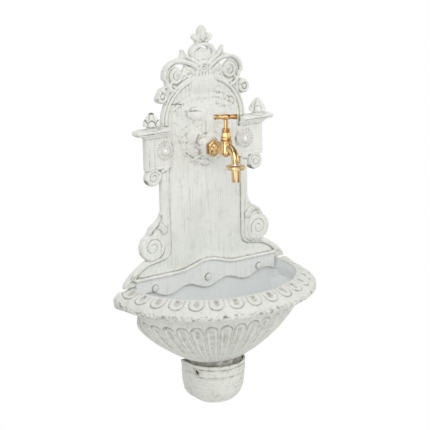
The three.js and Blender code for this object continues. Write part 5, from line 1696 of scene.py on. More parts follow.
@dataclass
class Basin:
    """Half-round bowl with a carved rim, fluted body, flat back wall and drain spigot."""

    rim_half_width: float = 200.0
    rim_front: float = 205.0
    straight: float = 32.5
    rim_top: float = 251.0
    inner_half_width: float = 162.0
    inner_front: float = 169.0
    lobes: int = 16
    bowl_top: float = 214.0
    bowl_half_width: float = 176.0
    bowl_front: float = 164.0
    bowl_bottom: float = 88.0
    bottom_radius: float = 30.0
    bottom_straight: float = 27.0
    fullness: float = 1.4
    wall: float = 5.0
    band: float = 21.5
    flutes: int = 19
    tuck: float = 0.14
    tuck_depth: float = 70.0
    tongue_length: float = 27.5
    tongue_radius: float = 14.2
    tongue_pitch: float = 38.0
    end_sag: float = 3.0
    end_lift: float = 7.0
    back_wall: float = 5.0
    back_top: float = 256.0
    back_half_width: float = 150.0
    drain_radius: float = 12.0
    drain_depth: float = 33.0
    spigot_radius: float = 51.3
    spigot_wall: float = 4.0
    spigot_bottom: float = 68.0
    spigot_top: float = 97.0
    cup_back: float = 4.3

    def bowl_level(self, share: float, inset: float = 0.0, lift: float = 0.0) -> Level:
        """Size of the bowl at a share of its height.

        Args:
            share: 0 at the neck and 1 at the top.
            inset: Thickness to stay inside.
            lift: Height to add.

        Returns:
            The level.
        """
        swell = (1 - (1 - share) ** self.fullness) ** (1 / self.fullness)
        bottom_front = self.bottom_straight + self.bottom_radius
        return Level(
            self.bottom_radius + (self.bowl_half_width - self.bottom_radius) * swell - inset,
            bottom_front + (self.bowl_front - bottom_front) * swell - inset,
            self.bottom_straight + (self.straight - self.bottom_straight) * swell,
            self.bowl_bottom + (self.bowl_top - self.bowl_bottom) * share + lift,
        )

    def rim_level(self, share: float, height: float) -> Level:
        """Size of the rim.

        Args:
            share: 0 at its inner edge and 1 at its outer one.
            height: Height of the level.

        Returns:
            The level.
        """
        half_width = self.inner_half_width + (self.rim_half_width - self.inner_half_width) * share
        front = self.inner_front + (self.rim_front - self.inner_front) * share
        return Level(half_width, front, self.straight, height)

    def flute_relief(self, across: Grid, below: float, pitch: float) -> Grid:
        """Carving of the flutes at one height.

        Args:
            across: Place within a flute, from -0.5 to 0.5.
            below: Distance below the top of the arches, in millimetres.
            pitch: Width of a flute here, in millimetres.

        Returns:
            Outward relief of each step.
        """
        radius = 0.31 * pitch
        side = np.abs(across) * pitch
        reach = np.hypot(side, max(radius - below, 0))
        ridge = 2.2 * bump(reach - radius, 0.085 * pitch)
        recess = -1.2 * eased((radius * 0.86 - reach) / (0.14 * pitch))
        gutter = -2.4 * bump(reach - radius * 1.34, 0.07 * pitch)
        dart = 1.6 * bump(side - 0.5 * pitch, 0.075 * pitch)
        fade = eased((below + 0.5 * pitch) / (0.3 * pitch))
        return min(1.0, pitch / 22) * (ridge + recess + (gutter + dart) * fade)

    def rim_relief(self, across: Grid, along: float, pitch: float) -> Grid:
        """Carving of the rim's tongues at one place of its slope.

        Args:
            across: Place within a tongue, from -0.5 to 0.5.
            along: Distance down the slope from its top edge, in millimetres.
            pitch: Width of a tongue here, in millimetres.

        Returns:
            Outward relief of each step.
        """
        side = np.abs(across) * self.tongue_pitch
        reach = np.hypot(side, max(0.0, along - self.tongue_length + self.tongue_radius))
        outline = -2.3 * bump(reach - self.tongue_radius, 1.7)
        border = 1.9 * bump(reach - self.tongue_radius + 3.9, 2.6)
        hollow = -1.5 * eased((self.tongue_radius - 6.2 - reach) / 3.0)
        spot = -1.6 * bump(np.hypot(side, along - 8.0), 2.4)
        dart = 1.5 * bump(side - self.tongue_pitch / 2, 2.2 + along * 0.1)
        carved = border + outline + hollow + spot + dart
        return carved * pitch / self.tongue_pitch * eased((along + 1.5) / 4)

    def add_outside(self, loft: Loft) -> None:
        """Adds the outside, from the neck to the rim's top edge.

        Args:
            loft: The bowl's skin.
        """
        total = self.straight * 2 + np.pi * (self.rim_half_width + self.rim_front - self.straight) / 2
        steps = np.linspace(0, 1, loft.around + 1)
        in_flute, in_lobe = (steps * self.flutes) % 1 - 0.5, (steps * self.lobes) % 1 - 0.5
        calm = eased(np.minimum(steps, 1 - steps) * total / 5)

        def cast(height: float, size: float, seed: int) -> Grid:
            """Unevenness of the casting along one ring."""
            return rough(steps * total, np.full(steps.shape, height), size, seed)

        for share in np.linspace(0, 1, 86) ** 1.25:
            level = self.bowl_level(share)
            below = (self.bowl_top - self.band - level.height) * (1.35 - 0.35 * share)
            front = np.pi * (level.half_width + level.front - level.straight) / 2
            pitch = (front + 2 * level.straight) / self.flutes
            carved = self.flute_relief(in_flute, below, pitch)
            loft.add(level, calm * (carved + 0.22 * cast(level.height, 7, 41)))
        for share, height in (
            (0.42, 215.5), (0.52, 216), (0.64, 216.6), (0.76, 217.8), (0.86, 219.6), (0.93, 221.6)
        ):
            loft.add(self.rim_level(share, height), calm * 0.25 * cast(height, 6, 42))
        for angle in np.radians(np.linspace(-70, 80, 14)):
            height = 226.6 + 4.6 * math.sin(angle)
            nibbled = 1.7 * cast(height * 1.2, 3.4, 43) + 0.9 * cast(height, 8.0, 44) - 0.8
            level = self.rim_level(0.955 + 0.045 * math.cos(angle), height)
            loft.add(level, calm * nibbled * math.cos(angle) ** 0.5)
        slope = smooth_line([(0.915, 232.2), (0.74, 238.6), (0.5, 244.6), (0.27, 248.8), (0.1, 250.6)], 34)
        reach = self.rim_half_width - self.inner_half_width
        steps_down = np.hypot(np.diff(slope[::-1, 0]) * reach, np.diff(slope[::-1, 1]))
        along = np.concatenate([[0], np.cumsum(steps_down)])
        for (share, height), distance in zip(slope, along[::-1]):
            carved = self.rim_relief(in_lobe, distance, total / self.lobes * (0.82 + 0.18 * share))
            loft.add(self.rim_level(share, height), calm * (carved + 0.3 * cast(distance, 4.5, 45)))

    def add_inside(self, loft: Loft) -> None:
        """Adds the inner wall, the floor and the drain hole, down to the neck.

        Args:
            loft: The bowl's skin.
        """
        # The inside is given the painted shade tint, fading in down the inner wall below the rim; the drain
        # hole is also darkened a little as painted shade.
        for share, height in (
            (0.03, 251.0), (0.0, 250.4), (0.0, 248.5), (0.0, 245.0), (-0.01, 238.0), (-0.02, 230.0)
        ):
            loft.add(self.rim_level(share, height), 0.0, self.back_wall, eased((250.6 - height) / 6))
        for share in (1, 0.95, 0.88, 0.8, 0.72, 0.64, 0.56, 0.48, 0.4, 0.32, 0.25, 0.18, 0.12, 0.07, 0.035):
            lift = self.wall * (1 - share) * 0.8 + (0.5 if share < 1 else 3)
            loft.add(self.bowl_level(share, self.wall, lift), 0.0, self.back_wall, 1.0)
        floor = loft.heights[-1]
        for radius, height in (
            (22, floor - 0.8), (15, floor - 1.2), (self.drain_radius + 0.8, floor - 1.4),
            (self.drain_radius, floor - 2), (self.drain_radius, self.bowl_bottom + 0.4),
            (self.drain_radius + 1, self.bowl_bottom),
        ):
            loft.add_circle(radius, self.drain_depth, height, -0.3 * (radius < 14), 1.0)

    def build_bowl(self) -> Piece:
        """Builds the bowl as one closed shell with the drain hole through its floor."""
        loft = Loft(Level(self.rim_half_width, self.rim_front, self.straight, self.rim_top))
        self.add_outside(loft)
        outside = len(loft.rings)
        self.add_inside(loft)
        loft.keep(loft.rings[0], loft.heights[0], loft.reliefs[0], 0.0)
        x, depth, height, relief, shade = loft.stacked()
        steepness = np.where(height < self.bowl_top, 1.85, 2.0)
        seen = (np.arange(len(x)) < outside)[:, None]
        marks = {
            "relief": np.clip((relief - 0.35 * blurred(relief, 5)) / steepness, -1.5, 1.5),
            "stain_and_shade": self.stains_and_shade(x, depth, height) * seen,
            "shade": shade,
        }
        x, height = self.settled(x, depth, height)
        bowl = grid_piece("basin_bowl", in_frame(x, depth, height), marks)
        close_seams(bowl)
        return bowl

    def settled(self, x: Grid, depth: Grid, height: Grid) -> tuple[Grid, Grid]:
        """Draws the bowl in towards the wall and thickens the rim's two ends.

        Args:
            x: Places across.
            depth: Depths.
            height: Heights.

        Returns:
            The new places across and heights.
        """
        near_wall = np.clip(1 - depth / self.tuck_depth, 0, 1) ** 2
        high = eased((height - 165) / 45) * eased((219 - height) / 4)
        near_end = bump(depth, 24.0) * eased((np.abs(x) - self.bowl_half_width) / 14)
        low_edge = eased((height - 214) / 3) * eased((230 - height) / 8)
        top_edge = eased((height - 222) / 8)
        drawn = x * (1 - self.tuck * near_wall * high + 0.01 * near_end * top_edge)
        return drawn, height + near_end * (self.end_lift * top_edge - self.end_sag * low_edge)

    def stains_and_shade(self, x: Grid, depth: Grid, height: Grid) -> Grid:
        """Dirt on the bowl: rough spots along the rim's bead, above some arches and on the band, with painted
        shade under the rim's left end.

        Args:
            x: Places across.
            depth: Depths.
            height: Heights.

        Returns:
            Strength of the grime and painted shade at each place.
        """
        spots = rough(x + depth * 0.6, height, 4.0, 51)
        bead = 0.6 * bump(height - 222, 4.5) * np.clip(spots + 0.4, 0, 1)
        arch = 0.42 * bump(height - 192, 6) * np.clip(rough(x, height, 16, 52) + 0.25, 0, 1)
        # Painted shade under the rim's left end.
        end = 0.7 * bump(height - 220, 4) * bump(np.minimum(np.abs(x + 198), 30), 9)
        band = 0.3 * bump(height - 204, 9) * np.clip(rough(x, height, 5, 53) + 0.5, 0, 1)
        return np.maximum(np.maximum(bead, arch), np.maximum(end, band))

    def build_back(self) -> Piece:
        """Builds the back wall that stands up behind the lap."""
        thick, low = self.back_wall - 0.2, self.rim_top - 5
        size = (2 * self.back_half_width, thick, self.back_top - low)
        wall = block("back_wall", size, 0, thick / 2, (low + self.back_top) / 2)
        softened(wall, 1.2)
        # Painted shade: the back wall takes the full shade tint.
        mark(wall, {"relief": 0.0, "stain_and_shade": 0.0, "shade": 1.0})
        return wall

    def build_spigot(self) -> Piece:
        """Builds the spigot that leads into the drain cup."""
        outer, inner = self.spigot_radius, self.spigot_radius - self.spigot_wall
        top, bottom, back = self.spigot_top, self.spigot_bottom, self.cup_back
        loft = Loft(Level(outer, self.bottom_straight + outer, self.bottom_straight, top), 120, 16)
        for radius, height, flat in (
            (outer, top, back), (outer, top - 13, back), (outer, top - 17, back), (outer, bottom + 1, back),
            (outer - 1, bottom, back + 1), (inner + 1, bottom, back + 3), (inner, bottom + 1, back + 4),
            (inner, self.bowl_bottom + 4, back + 4), (outer, top, back),
        ):
            loft.add(Level(radius, self.bottom_straight + radius, self.bottom_straight, height), 0.0, flat)
        x, depth, height, _, _ = loft.stacked()
        # Painted shade: the spigot is darkened all over, most where it hides inside the cup.
        hidden = (height < top - 15) & (height > bottom)
        marks = {"relief": -1.2, "stain_and_shade": np.where(hidden, 1.0, 0.25), "shade": 0.0}
        spigot = grid_piece("spigot", in_frame(x, depth, height), marks)
        close_seams(spigot)
        return spigot

    def build(self, paint: Material) -> Piece:
        """Builds the whole basin and dresses it.

        Args:
            paint: The casting's paint.

        Returns:
            The basin.
        """
        basin = joined([self.build_bowl(), self.build_back(), self.build_spigot()], "basin_cast")
        shade_round(basin, 55)
        return finished(basin, Body.FOUNTAIN, Slot.CAST_PAINT, paint, "basin")


@dataclass
class DrainCup:
    """D-shaped cup below the basin, with a lip, a raised band and two screw holes."""

    radius: float = 58.4
    straight: float = 27.0
    top: float = 88.0
    wall: float = 4.0
    lip_height: float = 6.0
    lip_reach: float = 1.6
    band_bottom: float = 66.0
    band_top: float = 80.0
    band_reach: float = 1.2
    hole_angle: float = 69.0
    hole_height: float = 74.0
    hole_radius: float = 5.2

    def profiles(self) -> tuple[list[Point], list[Point]]:
        """Radius and height at each level of the cup.

        Returns:
            The levels of the outside with the lip, from the foot up, and those of the inside, down again.
        """
        body, rim = self.radius - self.lip_reach, self.radius
        lip, top = self.top - self.lip_height, self.top
        low = smooth_line([
            (body * 0.1, 0.2), (body * 0.22, 0.6), (body * 0.48, 4.5), (body * 0.7, 13), (body * 0.89, 27),
            (body * 0.98, 48), (body, 64),
        ], 40)
        upper = [
            (body, 66), (body, 78.2), (body - 0.3, lip - 1), (rim - 0.7, lip), (rim, lip + 1.2),
            (rim, top - 1.5), (rim - 0.8, top), (rim - self.wall + 0.6, top), (rim - self.wall, top - 0.8),
        ]
        fine = []
        for (r0, z0), (r1, z1) in zip(upper, upper[1:]):
            count = max(1, round(math.hypot(r1 - r0, z1 - z0) / 0.8))
            fine += [(r0 + (r1 - r0) * i / count, z0 + (z1 - z0) * i / count) for i in range(count)]
        inside = [(max(radius - self.wall, 2.0), height + self.wall) for radius, height in low[::-4]]
        return [*low, *fine], inside

    def build(self, paint: Material) -> Piece:
        """Builds the cup and dresses it.

        Args:
            paint: The casting's paint.

        Returns:
            The cup.
        """
        loft = Loft(Level(self.radius, self.straight + self.radius, self.straight, self.top), 200, 30)
        outside, inside = self.profiles()
        on_band = eased((self.hole_angle + 9 - np.abs(90 - np.degrees(loft.angle))) / 4)
        for number, (radius, height) in enumerate([*outside, *inside]):
            within = number >= len(outside) - 1
            band = eased((height - self.band_bottom) / 1.4) * eased((self.band_top - height) / 1.4)
            cast = 0.25 * rough(loft.angle * self.radius, np.full(loft.angle.shape, height), 6, 61)
            relief = 0.0 if within else self.band_reach * band * on_band + cast
            straight = self.straight * min(1.0, 0.35 + radius / (self.radius - self.lip_reach))
            level = Level(radius, straight + radius, straight, height)
            loft.add(level, relief, self.wall if within else 0.0)
        loft.close_ends(0.2)
        x, depth, height, relief, _ = loft.stacked()
        # Painted shade: a dark band under the lip and the shade tint towards the foot.
        marks = {
            "relief": np.clip((relief - blurred(relief, 3)) / 0.7, -1.2, 1.2)
            - 0.45 * bump(height - self.top + self.lip_height + 1.5, 1.6),
            "stain_and_shade": self.stains_and_shade(x, depth, height, len(outside) + 2),
            "shade": 0.25 * eased((30 - height) / 30),
        }
        cup = grid_piece("drain_cup_cast", in_frame(x, depth, height), marks)
        close_seams(cup)
        self.bore_holes(cup)
        shade_round(cup, 50)
        return finished(cup, Body.FOUNTAIN, Slot.CAST_PAINT, paint, "drain_cup")

    def hole_place(self) -> Point:
        """Place of a screw hole across and its depth."""
        angle = math.radians(self.hole_angle)
        return self.radius * math.sin(angle), self.straight + self.radius * math.cos(angle)

    def stains_and_shade(self, x: Grid, depth: Grid, height: Grid, first_inside: int) -> Grid:
        """Painted shade all over the cup's inside, around the screw holes, along the band's edges, at the
        foot and along the top under the basin.

        Args:
            x: Places across.
            depth: Depths.
            height: Heights.
            first_inside: Number of the first ring of the inside.

        Returns:
            Strength of the painted shade at each place.
        """
        hole_x, hole_depth = self.hole_place()
        side, ahead, up = np.abs(x) - hole_x, depth - hole_depth, height - self.hole_height
        away = np.sqrt(side**2 + ahead**2 + up**2)
        edges = 0.4 * bump(height - 2, 5) + 0.4 * bump(height - self.band_bottom, 1.5)
        edges += 0.35 * bump(height - self.band_top, 1.5) + 0.54 * bump(height - self.top - 0.5, 2.2)
        inner = (np.arange(len(x)) >= first_inside)[:, None]
        return np.maximum(np.maximum(inner, 0.9 * bump(away, self.hole_radius + 1.5)), edges)

    def bore_holes(self, cup: Piece) -> None:
        """Cuts the two side screw holes.

        Args:
            cup: The cup.
        """
        depth = self.hole_place()[1] - 2
        bpy.ops.object.select_all(action="DESELECT")
        bpy.ops.mesh.primitive_cylinder_add(
            vertices=24, radius=self.hole_radius * MM, depth=3 * self.radius * MM,
            location=(0, -depth * MM, (self.hole_height - MOUNT_HEIGHT) * MM), rotation=(0, math.pi / 2, 0),
        )
        cut_away(cup, bpy.context.object)


@dataclass
class FlangeBolts:
    """Three dome-headed bolts that hold the basin to the lap."""

    spacing: float = 118.0
    height: float = 243.0
    head_radius: float = 6.5
    head_depth: float = 4.5
    seat: float = 11.1
    shank_radius: float = 3.0

    def build(self, paint: Material) -> list[Piece]:
        """Builds the bolts and dresses them.

        Args:
            paint: Paint of the bolts.

        Returns:
            The three bolts.
        """
        r, front = self.head_radius, self.seat + self.head_depth
        dome = [(r * math.cos(a), self.seat + 1.2 + (self.head_depth - 1.2) * math.sin(a))
                for a in np.radians(np.linspace(0, 84, 9))]
        profile = [
            (0, 1.0), (self.shank_radius, 1.0), (self.shank_radius, self.seat), (r - 0.4, self.seat),
            (r, self.seat + 0.5), *dome, (0, front),
        ]
        first = turned("flange_bolt", profile, 40, outward=True)
        bolts = []
        for side, x in (("left", -self.spacing), ("middle", 0.0), ("right", self.spacing)):
            bolt = bpy.data.objects.new(f"flange_bolt_{side}_dressed", first.data.copy())
            bolt.data.name = bolt.name
            bpy.context.collection.objects.link(bolt)
            moved(bolt, x, 0, self.height - MOUNT_HEIGHT)
            # Painted shade: the edge and underside of each head, where it sits on the strip, are darkened,
            # and the head takes a light shade tint.
            relief = [0.25 if -v.co.y > (self.seat + 2) * MM else -0.9 for v in bolt.data.vertices]
            stain_and_shade = [0.0 if -v.co.y > (self.seat + 1.6) * MM else 0.5 for v in bolt.data.vertices]
            mark(bolt, {"relief": relief, "stain_and_shade": stain_and_shade, "shade": 0.25})
            shade_round(bolt, 35)
            bolts.append(finished(bolt, Body.FOUNTAIN, Slot.BOLT_PAINT, paint, f"flange_bolt_{side}"))
        bpy.data.objects.remove(first)
        return bolts


@dataclass
class GardenTap:
    """Brass bib tap with a T-handle, a hose nut and a hose nozzle."""

    axis_depth: float = 76.5
    mouth_height: float = 494.5
    mouth_depth: float = 34.3
    neck_swell: float = 2.6
    flange_radius: float = 16.8
    flange_thickness: float = 8.0
    tail_radius: float = 10.4
    neck_radius: float = 7.5
    barrel_radius: float = 11.1
    barrel_top: float = 516.0
    barrel_bottom: float = 487.0
    spout_radius: float = 7.2
    outlet_depth: float = 105.0
    nut_top: float = 474.5
    nut_thickness: float = 6.8
    nut_radius: float = 17.0
    nozzle_radius: float = 8.0
    nozzle_bore: float = 6.0
    nozzle_bottom: float = 444.0
    bonnet_radius: float = 9.8
    bonnet_height: float = 16.0
    packing_radius: float = 7.6
    packing_height: float = 6.0
    spindle_radius: float = 3.9
    spindle_reach: float = 15.0
    handle_length: float = 43.0
    handle_radius: float = 4.9
    waist_radius: float = 4.0
    handle_angle: float = -35.0
    gap: float = 0.3

    def dress(
        self, piece: Piece, body: Body, brass: Material, node: str, angle: float = 35.0,
        painted_highlight: tuple[float, float] | None = None,
    ) -> Piece:
        """Names, shades and dresses one brass piece.

        Args:
            piece: The finished mesh.
            body: Body it rides on.
            brass: The brass.
            node: Solid that it replaces.
            angle: Edges above this angle stay sharp.
            painted_highlight: Lowest and highest height of a ring painted near-white as a highlight, if there
                is one.

        Returns:
            The piece.
        """
        piece.name = f"{node}_brass"
        piece.data.name = piece.name
        heights = [v.co.z / MM + MOUNT_HEIGHT for v in piece.data.vertices]
        # Vertices between the given heights get the painted highlight.
        values = [1.0 if painted_highlight and painted_highlight[0] < height < painted_highlight[1] else 0.0 for height in heights]
        mark(piece, {"painted_highlight": values})
        shade_round(piece, angle)
        return finished(piece, body, Slot.BRASS, brass, node)

    def wall_flange(self) -> Piece:
        """Hexagonal wall nut with steep chamfers."""
        r, t, bore = self.flange_radius, self.flange_thickness, self.tail_radius + self.gap
        profile = [
            (bore, 0), (r * 0.97, 0), (r, 0.8), (r, t * 0.4), (r * 0.78, t + 0.6), (r * 0.72, t + 0.8),
            (bore, t + 0.8), (bore, 0),
        ]
        flange = turned("wall_flange", profile, 6, outward=True, start=30)
        softened(flange, 0.5)
        return moved(flange, 0, self.mouth_depth, self.mouth_height - MOUNT_HEIGHT)

    def body(self) -> Piece:
        """Tap body: tail, neck, barrel and curved spout in one smooth casting."""
        front = self.mouth_depth + self.flange_thickness
        r = self.barrel_radius
        tail = turned("tail", [
            (0, 1), (self.tail_radius, 1), (self.tail_radius, front + 1.2),
            (self.neck_radius + 0.6, front + 4.5), (self.neck_radius, front + 8),
            (self.neck_radius + 0.4, front + 14),
            (self.neck_radius + self.neck_swell, self.axis_depth - self.barrel_radius + 1),
            (self.neck_radius + self.neck_swell, self.axis_depth), (0, self.axis_depth),
        ], 48, outward=True)
        moved(tail, 0, 0, self.mouth_height - MOUNT_HEIGHT)
        low = self.barrel_bottom - MOUNT_HEIGHT
        top = self.barrel_top - MOUNT_HEIGHT
        barrel = turned("barrel", [
            (0, low), (r * 0.45, low + 0.2), (r * 0.78, low + 1.6), (r * 0.95, low + 4.6), (r, low + 8),
            (r, top - 5), (r * 0.97, top - 4.2), (r * 0.97, top - 3.4), (r * 1.02, top - 2.8),
            (r * 1.02, top - 0.6), (r * 0.98, top), (0, top),
        ], 56)
        moved(barrel, 0, self.axis_depth, 0)
        seat = self.nut_top - MOUNT_HEIGHT + self.gap
        collar = turned("collar", [
            (0, seat), (self.spout_radius + 2.0, seat), (self.spout_radius + 2.2, seat + 0.3),
            (self.spout_radius + 2.2, seat + 2.4), (self.spout_radius + 1.4, seat + 3), (0, seat + 3),
        ], 40)
        moved(collar, 0, self.outlet_depth, 0)
        body = joined([tail, barrel, self.spout(), collar], "tap_body_brass")
        applied(body, "REMESH", mode="VOXEL", voxel_size=0.55 * MM)
        applied(body, "SMOOTH", iterations=4, factor=0.5)
        return body

    def spout(self) -> Piece:
        """Curved spout, a round tube swept along its centre line."""
        z = self.mouth_height
        line = smooth_line([
            (self.axis_depth, z + 7), (self.axis_depth + 11, z + 9), (self.outlet_depth - 7, z + 3),
            (self.outlet_depth - 0.5, z - 8), (self.outlet_depth, self.nut_top + self.gap),
        ], 40)
        ahead = np.gradient(line, axis=0)
        ahead /= np.linalg.norm(ahead, axis=1)[:, None]
        angle = np.linspace(0, 2 * np.pi, 41)
        line, ahead = (np.concatenate([rows[[0]], rows, rows[[-1]]]) for rows in (line, ahead))
        radius = np.concatenate([[0.0], np.full(len(line) - 2, self.spout_radius), [0.0]])
        x = radius[:, None] * np.cos(angle)[None, :]
        lift = radius[:, None] * np.sin(angle)[None, :]
        depth = line[:, [0]] - ahead[:, [1]] * lift
        height = line[:, [1]] + ahead[:, [0]] * lift
        spout = grid_piece("spout", in_frame(x, depth, height), {})
        close_seams(spout)
        return spout

    def bonnet(self) -> Piece:
        """Hexagonal bonnet with a tapered neck and a round packing nut."""
        foot = self.barrel_top + self.gap - MOUNT_HEIGHT
        neck = foot + self.bonnet_height
        top = neck + self.packing_height
        r, way = self.bonnet_radius, self.spindle_radius + 0.1
        shoulder = foot + self.bonnet_height * 0.42
        lower = turned("bonnet", [
            (way, foot), (r * 0.97, foot), (r, foot + 0.6), (r, shoulder - 0.8), (r * 0.92, shoulder),
            (r * 0.9, shoulder + 0.6), (r * 0.84, neck - 1.6), (r * 0.7, neck - 0.4), (way, neck - 0.4),
            (way, foot),
        ], 6, start=12)
        softened(lower, 0.35)
        r = self.packing_radius
        packing = turned("packing", [
            (way, neck - 1.2), (r - 1.0, neck - 1.2), (r - 1.0, neck), (r, neck + 0.4), (r, top - 2.2),
            (r - 0.8, top - 1.8), (r - 1.2, top - 0.4), (r - 1.8, top), (way, top), (way, neck - 1.2),
        ], 48)
        for piece in (lower, packing):
            moved(piece, 0, self.axis_depth, 0)
        return joined([lower, packing], "tap_bonnet_brass")

    def spindle_top(self) -> float:
        """Height of the spindle's end."""
        return self.barrel_top + self.gap + self.bonnet_height + self.packing_height + self.spindle_reach

    def spindle(self) -> Piece:
        """Round spindle with a neck below the handle."""
        foot = self.barrel_top - 8 - MOUNT_HEIGHT
        top = self.spindle_top() - MOUNT_HEIGHT
        r = self.spindle_radius
        spindle = turned("spindle", [
            (0, foot), (r - 0.5, foot), (r, foot + 0.5), (r, top - 4.5), (r - 0.5, top - 4.1),
            (r - 0.5, top - 3.2), (r, top - 2.8), (r, top - 0.4), (r - 0.4, top), (0, top),
        ], 40)
        return moved(spindle, 0, self.axis_depth, 0)

    def handle(self) -> Piece:
        """T-handle: a waisted bar with turned ends and a round hub."""
        half = self.handle_length / 2
        end, waist, hub = self.handle_radius, self.waist_radius, self.handle_radius + 0.6
        side = [
            (0, half), (end - 1.2, half), (end - 0.3, half - 0.4), (end, half - 1.2), (end, half - 3.0),
            (end - 0.5, half - 3.6), (end - 0.5, half - 4.2), (end - 0.1, half - 4.8),
            (waist + 0.3, half - 8), (waist, half * 0.5), (waist, hub + 1.6), (waist + 0.3, hub + 0.8),
            (end - 0.1, hub - 0.4), (end, hub - 1.6),
        ]
        profile = side + [(r, -along) for r, along in side[::-1]]
        bar = turned("handle", profile, 40)
        bar.data.transform(Matrix.Rotation(math.radians(90), 4, "Y"))
        bar.data.transform(Matrix.Rotation(math.radians(self.handle_angle), 4, "Z"))
        height = self.spindle_top() + self.gap + self.handle_radius - MOUNT_HEIGHT
        return moved(bar, 0, self.axis_depth, height)

    def hose_nut(self) -> Piece:
        """Flat ring nut with a finely notched edge."""
        low = self.nut_top - self.nut_thickness - MOUNT_HEIGHT
        top = self.nut_top - MOUNT_HEIGHT
        r, bore = self.nut_radius, self.nozzle_bore
        nut = turned("nut", [
            (bore, low), (r - 2.2, low), (r - 0.9, low + 0.35), (r - 0.2, low + 1.1), (r, low + 1.8),
            (r, top - 1.8), (r - 0.2, top - 1.1), (r - 0.9, top - 0.35), (r - 2.2, top), (bore + 5.5, top),
            (bore + 4.6, top - 0.5), (bore, top - 0.5), (bore, low),
        ], 96)
        for vertex in nut.data.vertices:
            radius = math.hypot(vertex.co.x, vertex.co.y) / MM
            if radius > r - 0.5:
                angle = math.atan2(vertex.co.y, vertex.co.x)
                share = 1 - 0.02 * (0.5 + 0.5 * math.cos(24 * angle)) ** 3
                vertex.co.x *= share
                vertex.co.y *= share
        return moved(nut, 0, self.outlet_depth, 0)

    def nozzle(self) -> Piece:
        """Short hose nozzle with a chamfered end."""
        top = self.nut_top - self.nut_thickness - self.gap - MOUNT_HEIGHT
        low = self.nozzle_bottom - MOUNT_HEIGHT
        r, bore = self.nozzle_radius, self.nozzle_bore
        nozzle = turned("nozzle", [
            (bore, low), (r - 1.1, low), (r - 0.5, low + 0.6), (r - 0.3, low + 2.0), (r, low + 2.6), (r, top),
            (bore, top), (bore, low),
        ], 48)
        return moved(nozzle, 0, self.outlet_depth, 0)

    def build(self, brass: Material, dark_brass: Material, matt_brass: Material) -> None:
        """Builds the tap's pieces and dresses them.

        Args:
            brass: The brass.
            dark_brass: Duller brass of the wall nut, the bonnet and the handle.
            matt_brass: Brushed brass of the hose nut and the nozzle.
        """
        # Heights of the spout's collar ring, which is painted near-white as a highlight.
        collar = (self.nut_top - 0.5, self.nut_top + 3.6)
        self.dress(self.wall_flange(), Body.FOUNTAIN, dark_brass, "tap_wall_flange", 25)
        self.dress(self.body(), Body.FOUNTAIN, brass, "tap_body", 180, collar)
        self.dress(self.bonnet(), Body.FOUNTAIN, dark_brass, "tap_bonnet", 25)
        self.dress(self.spindle(), Body.SPINDLE, brass, "tap_spindle")
        self.dress(self.handle(), Body.HANDLE, dark_brass, "tap_handle")
        self.dress(self.hose_nut(), Body.FOUNTAIN, matt_brass, "hose_nut")
        self.dress(self.nozzle(), Body.FOUNTAIN, matt_brass, "hose_nozzle")


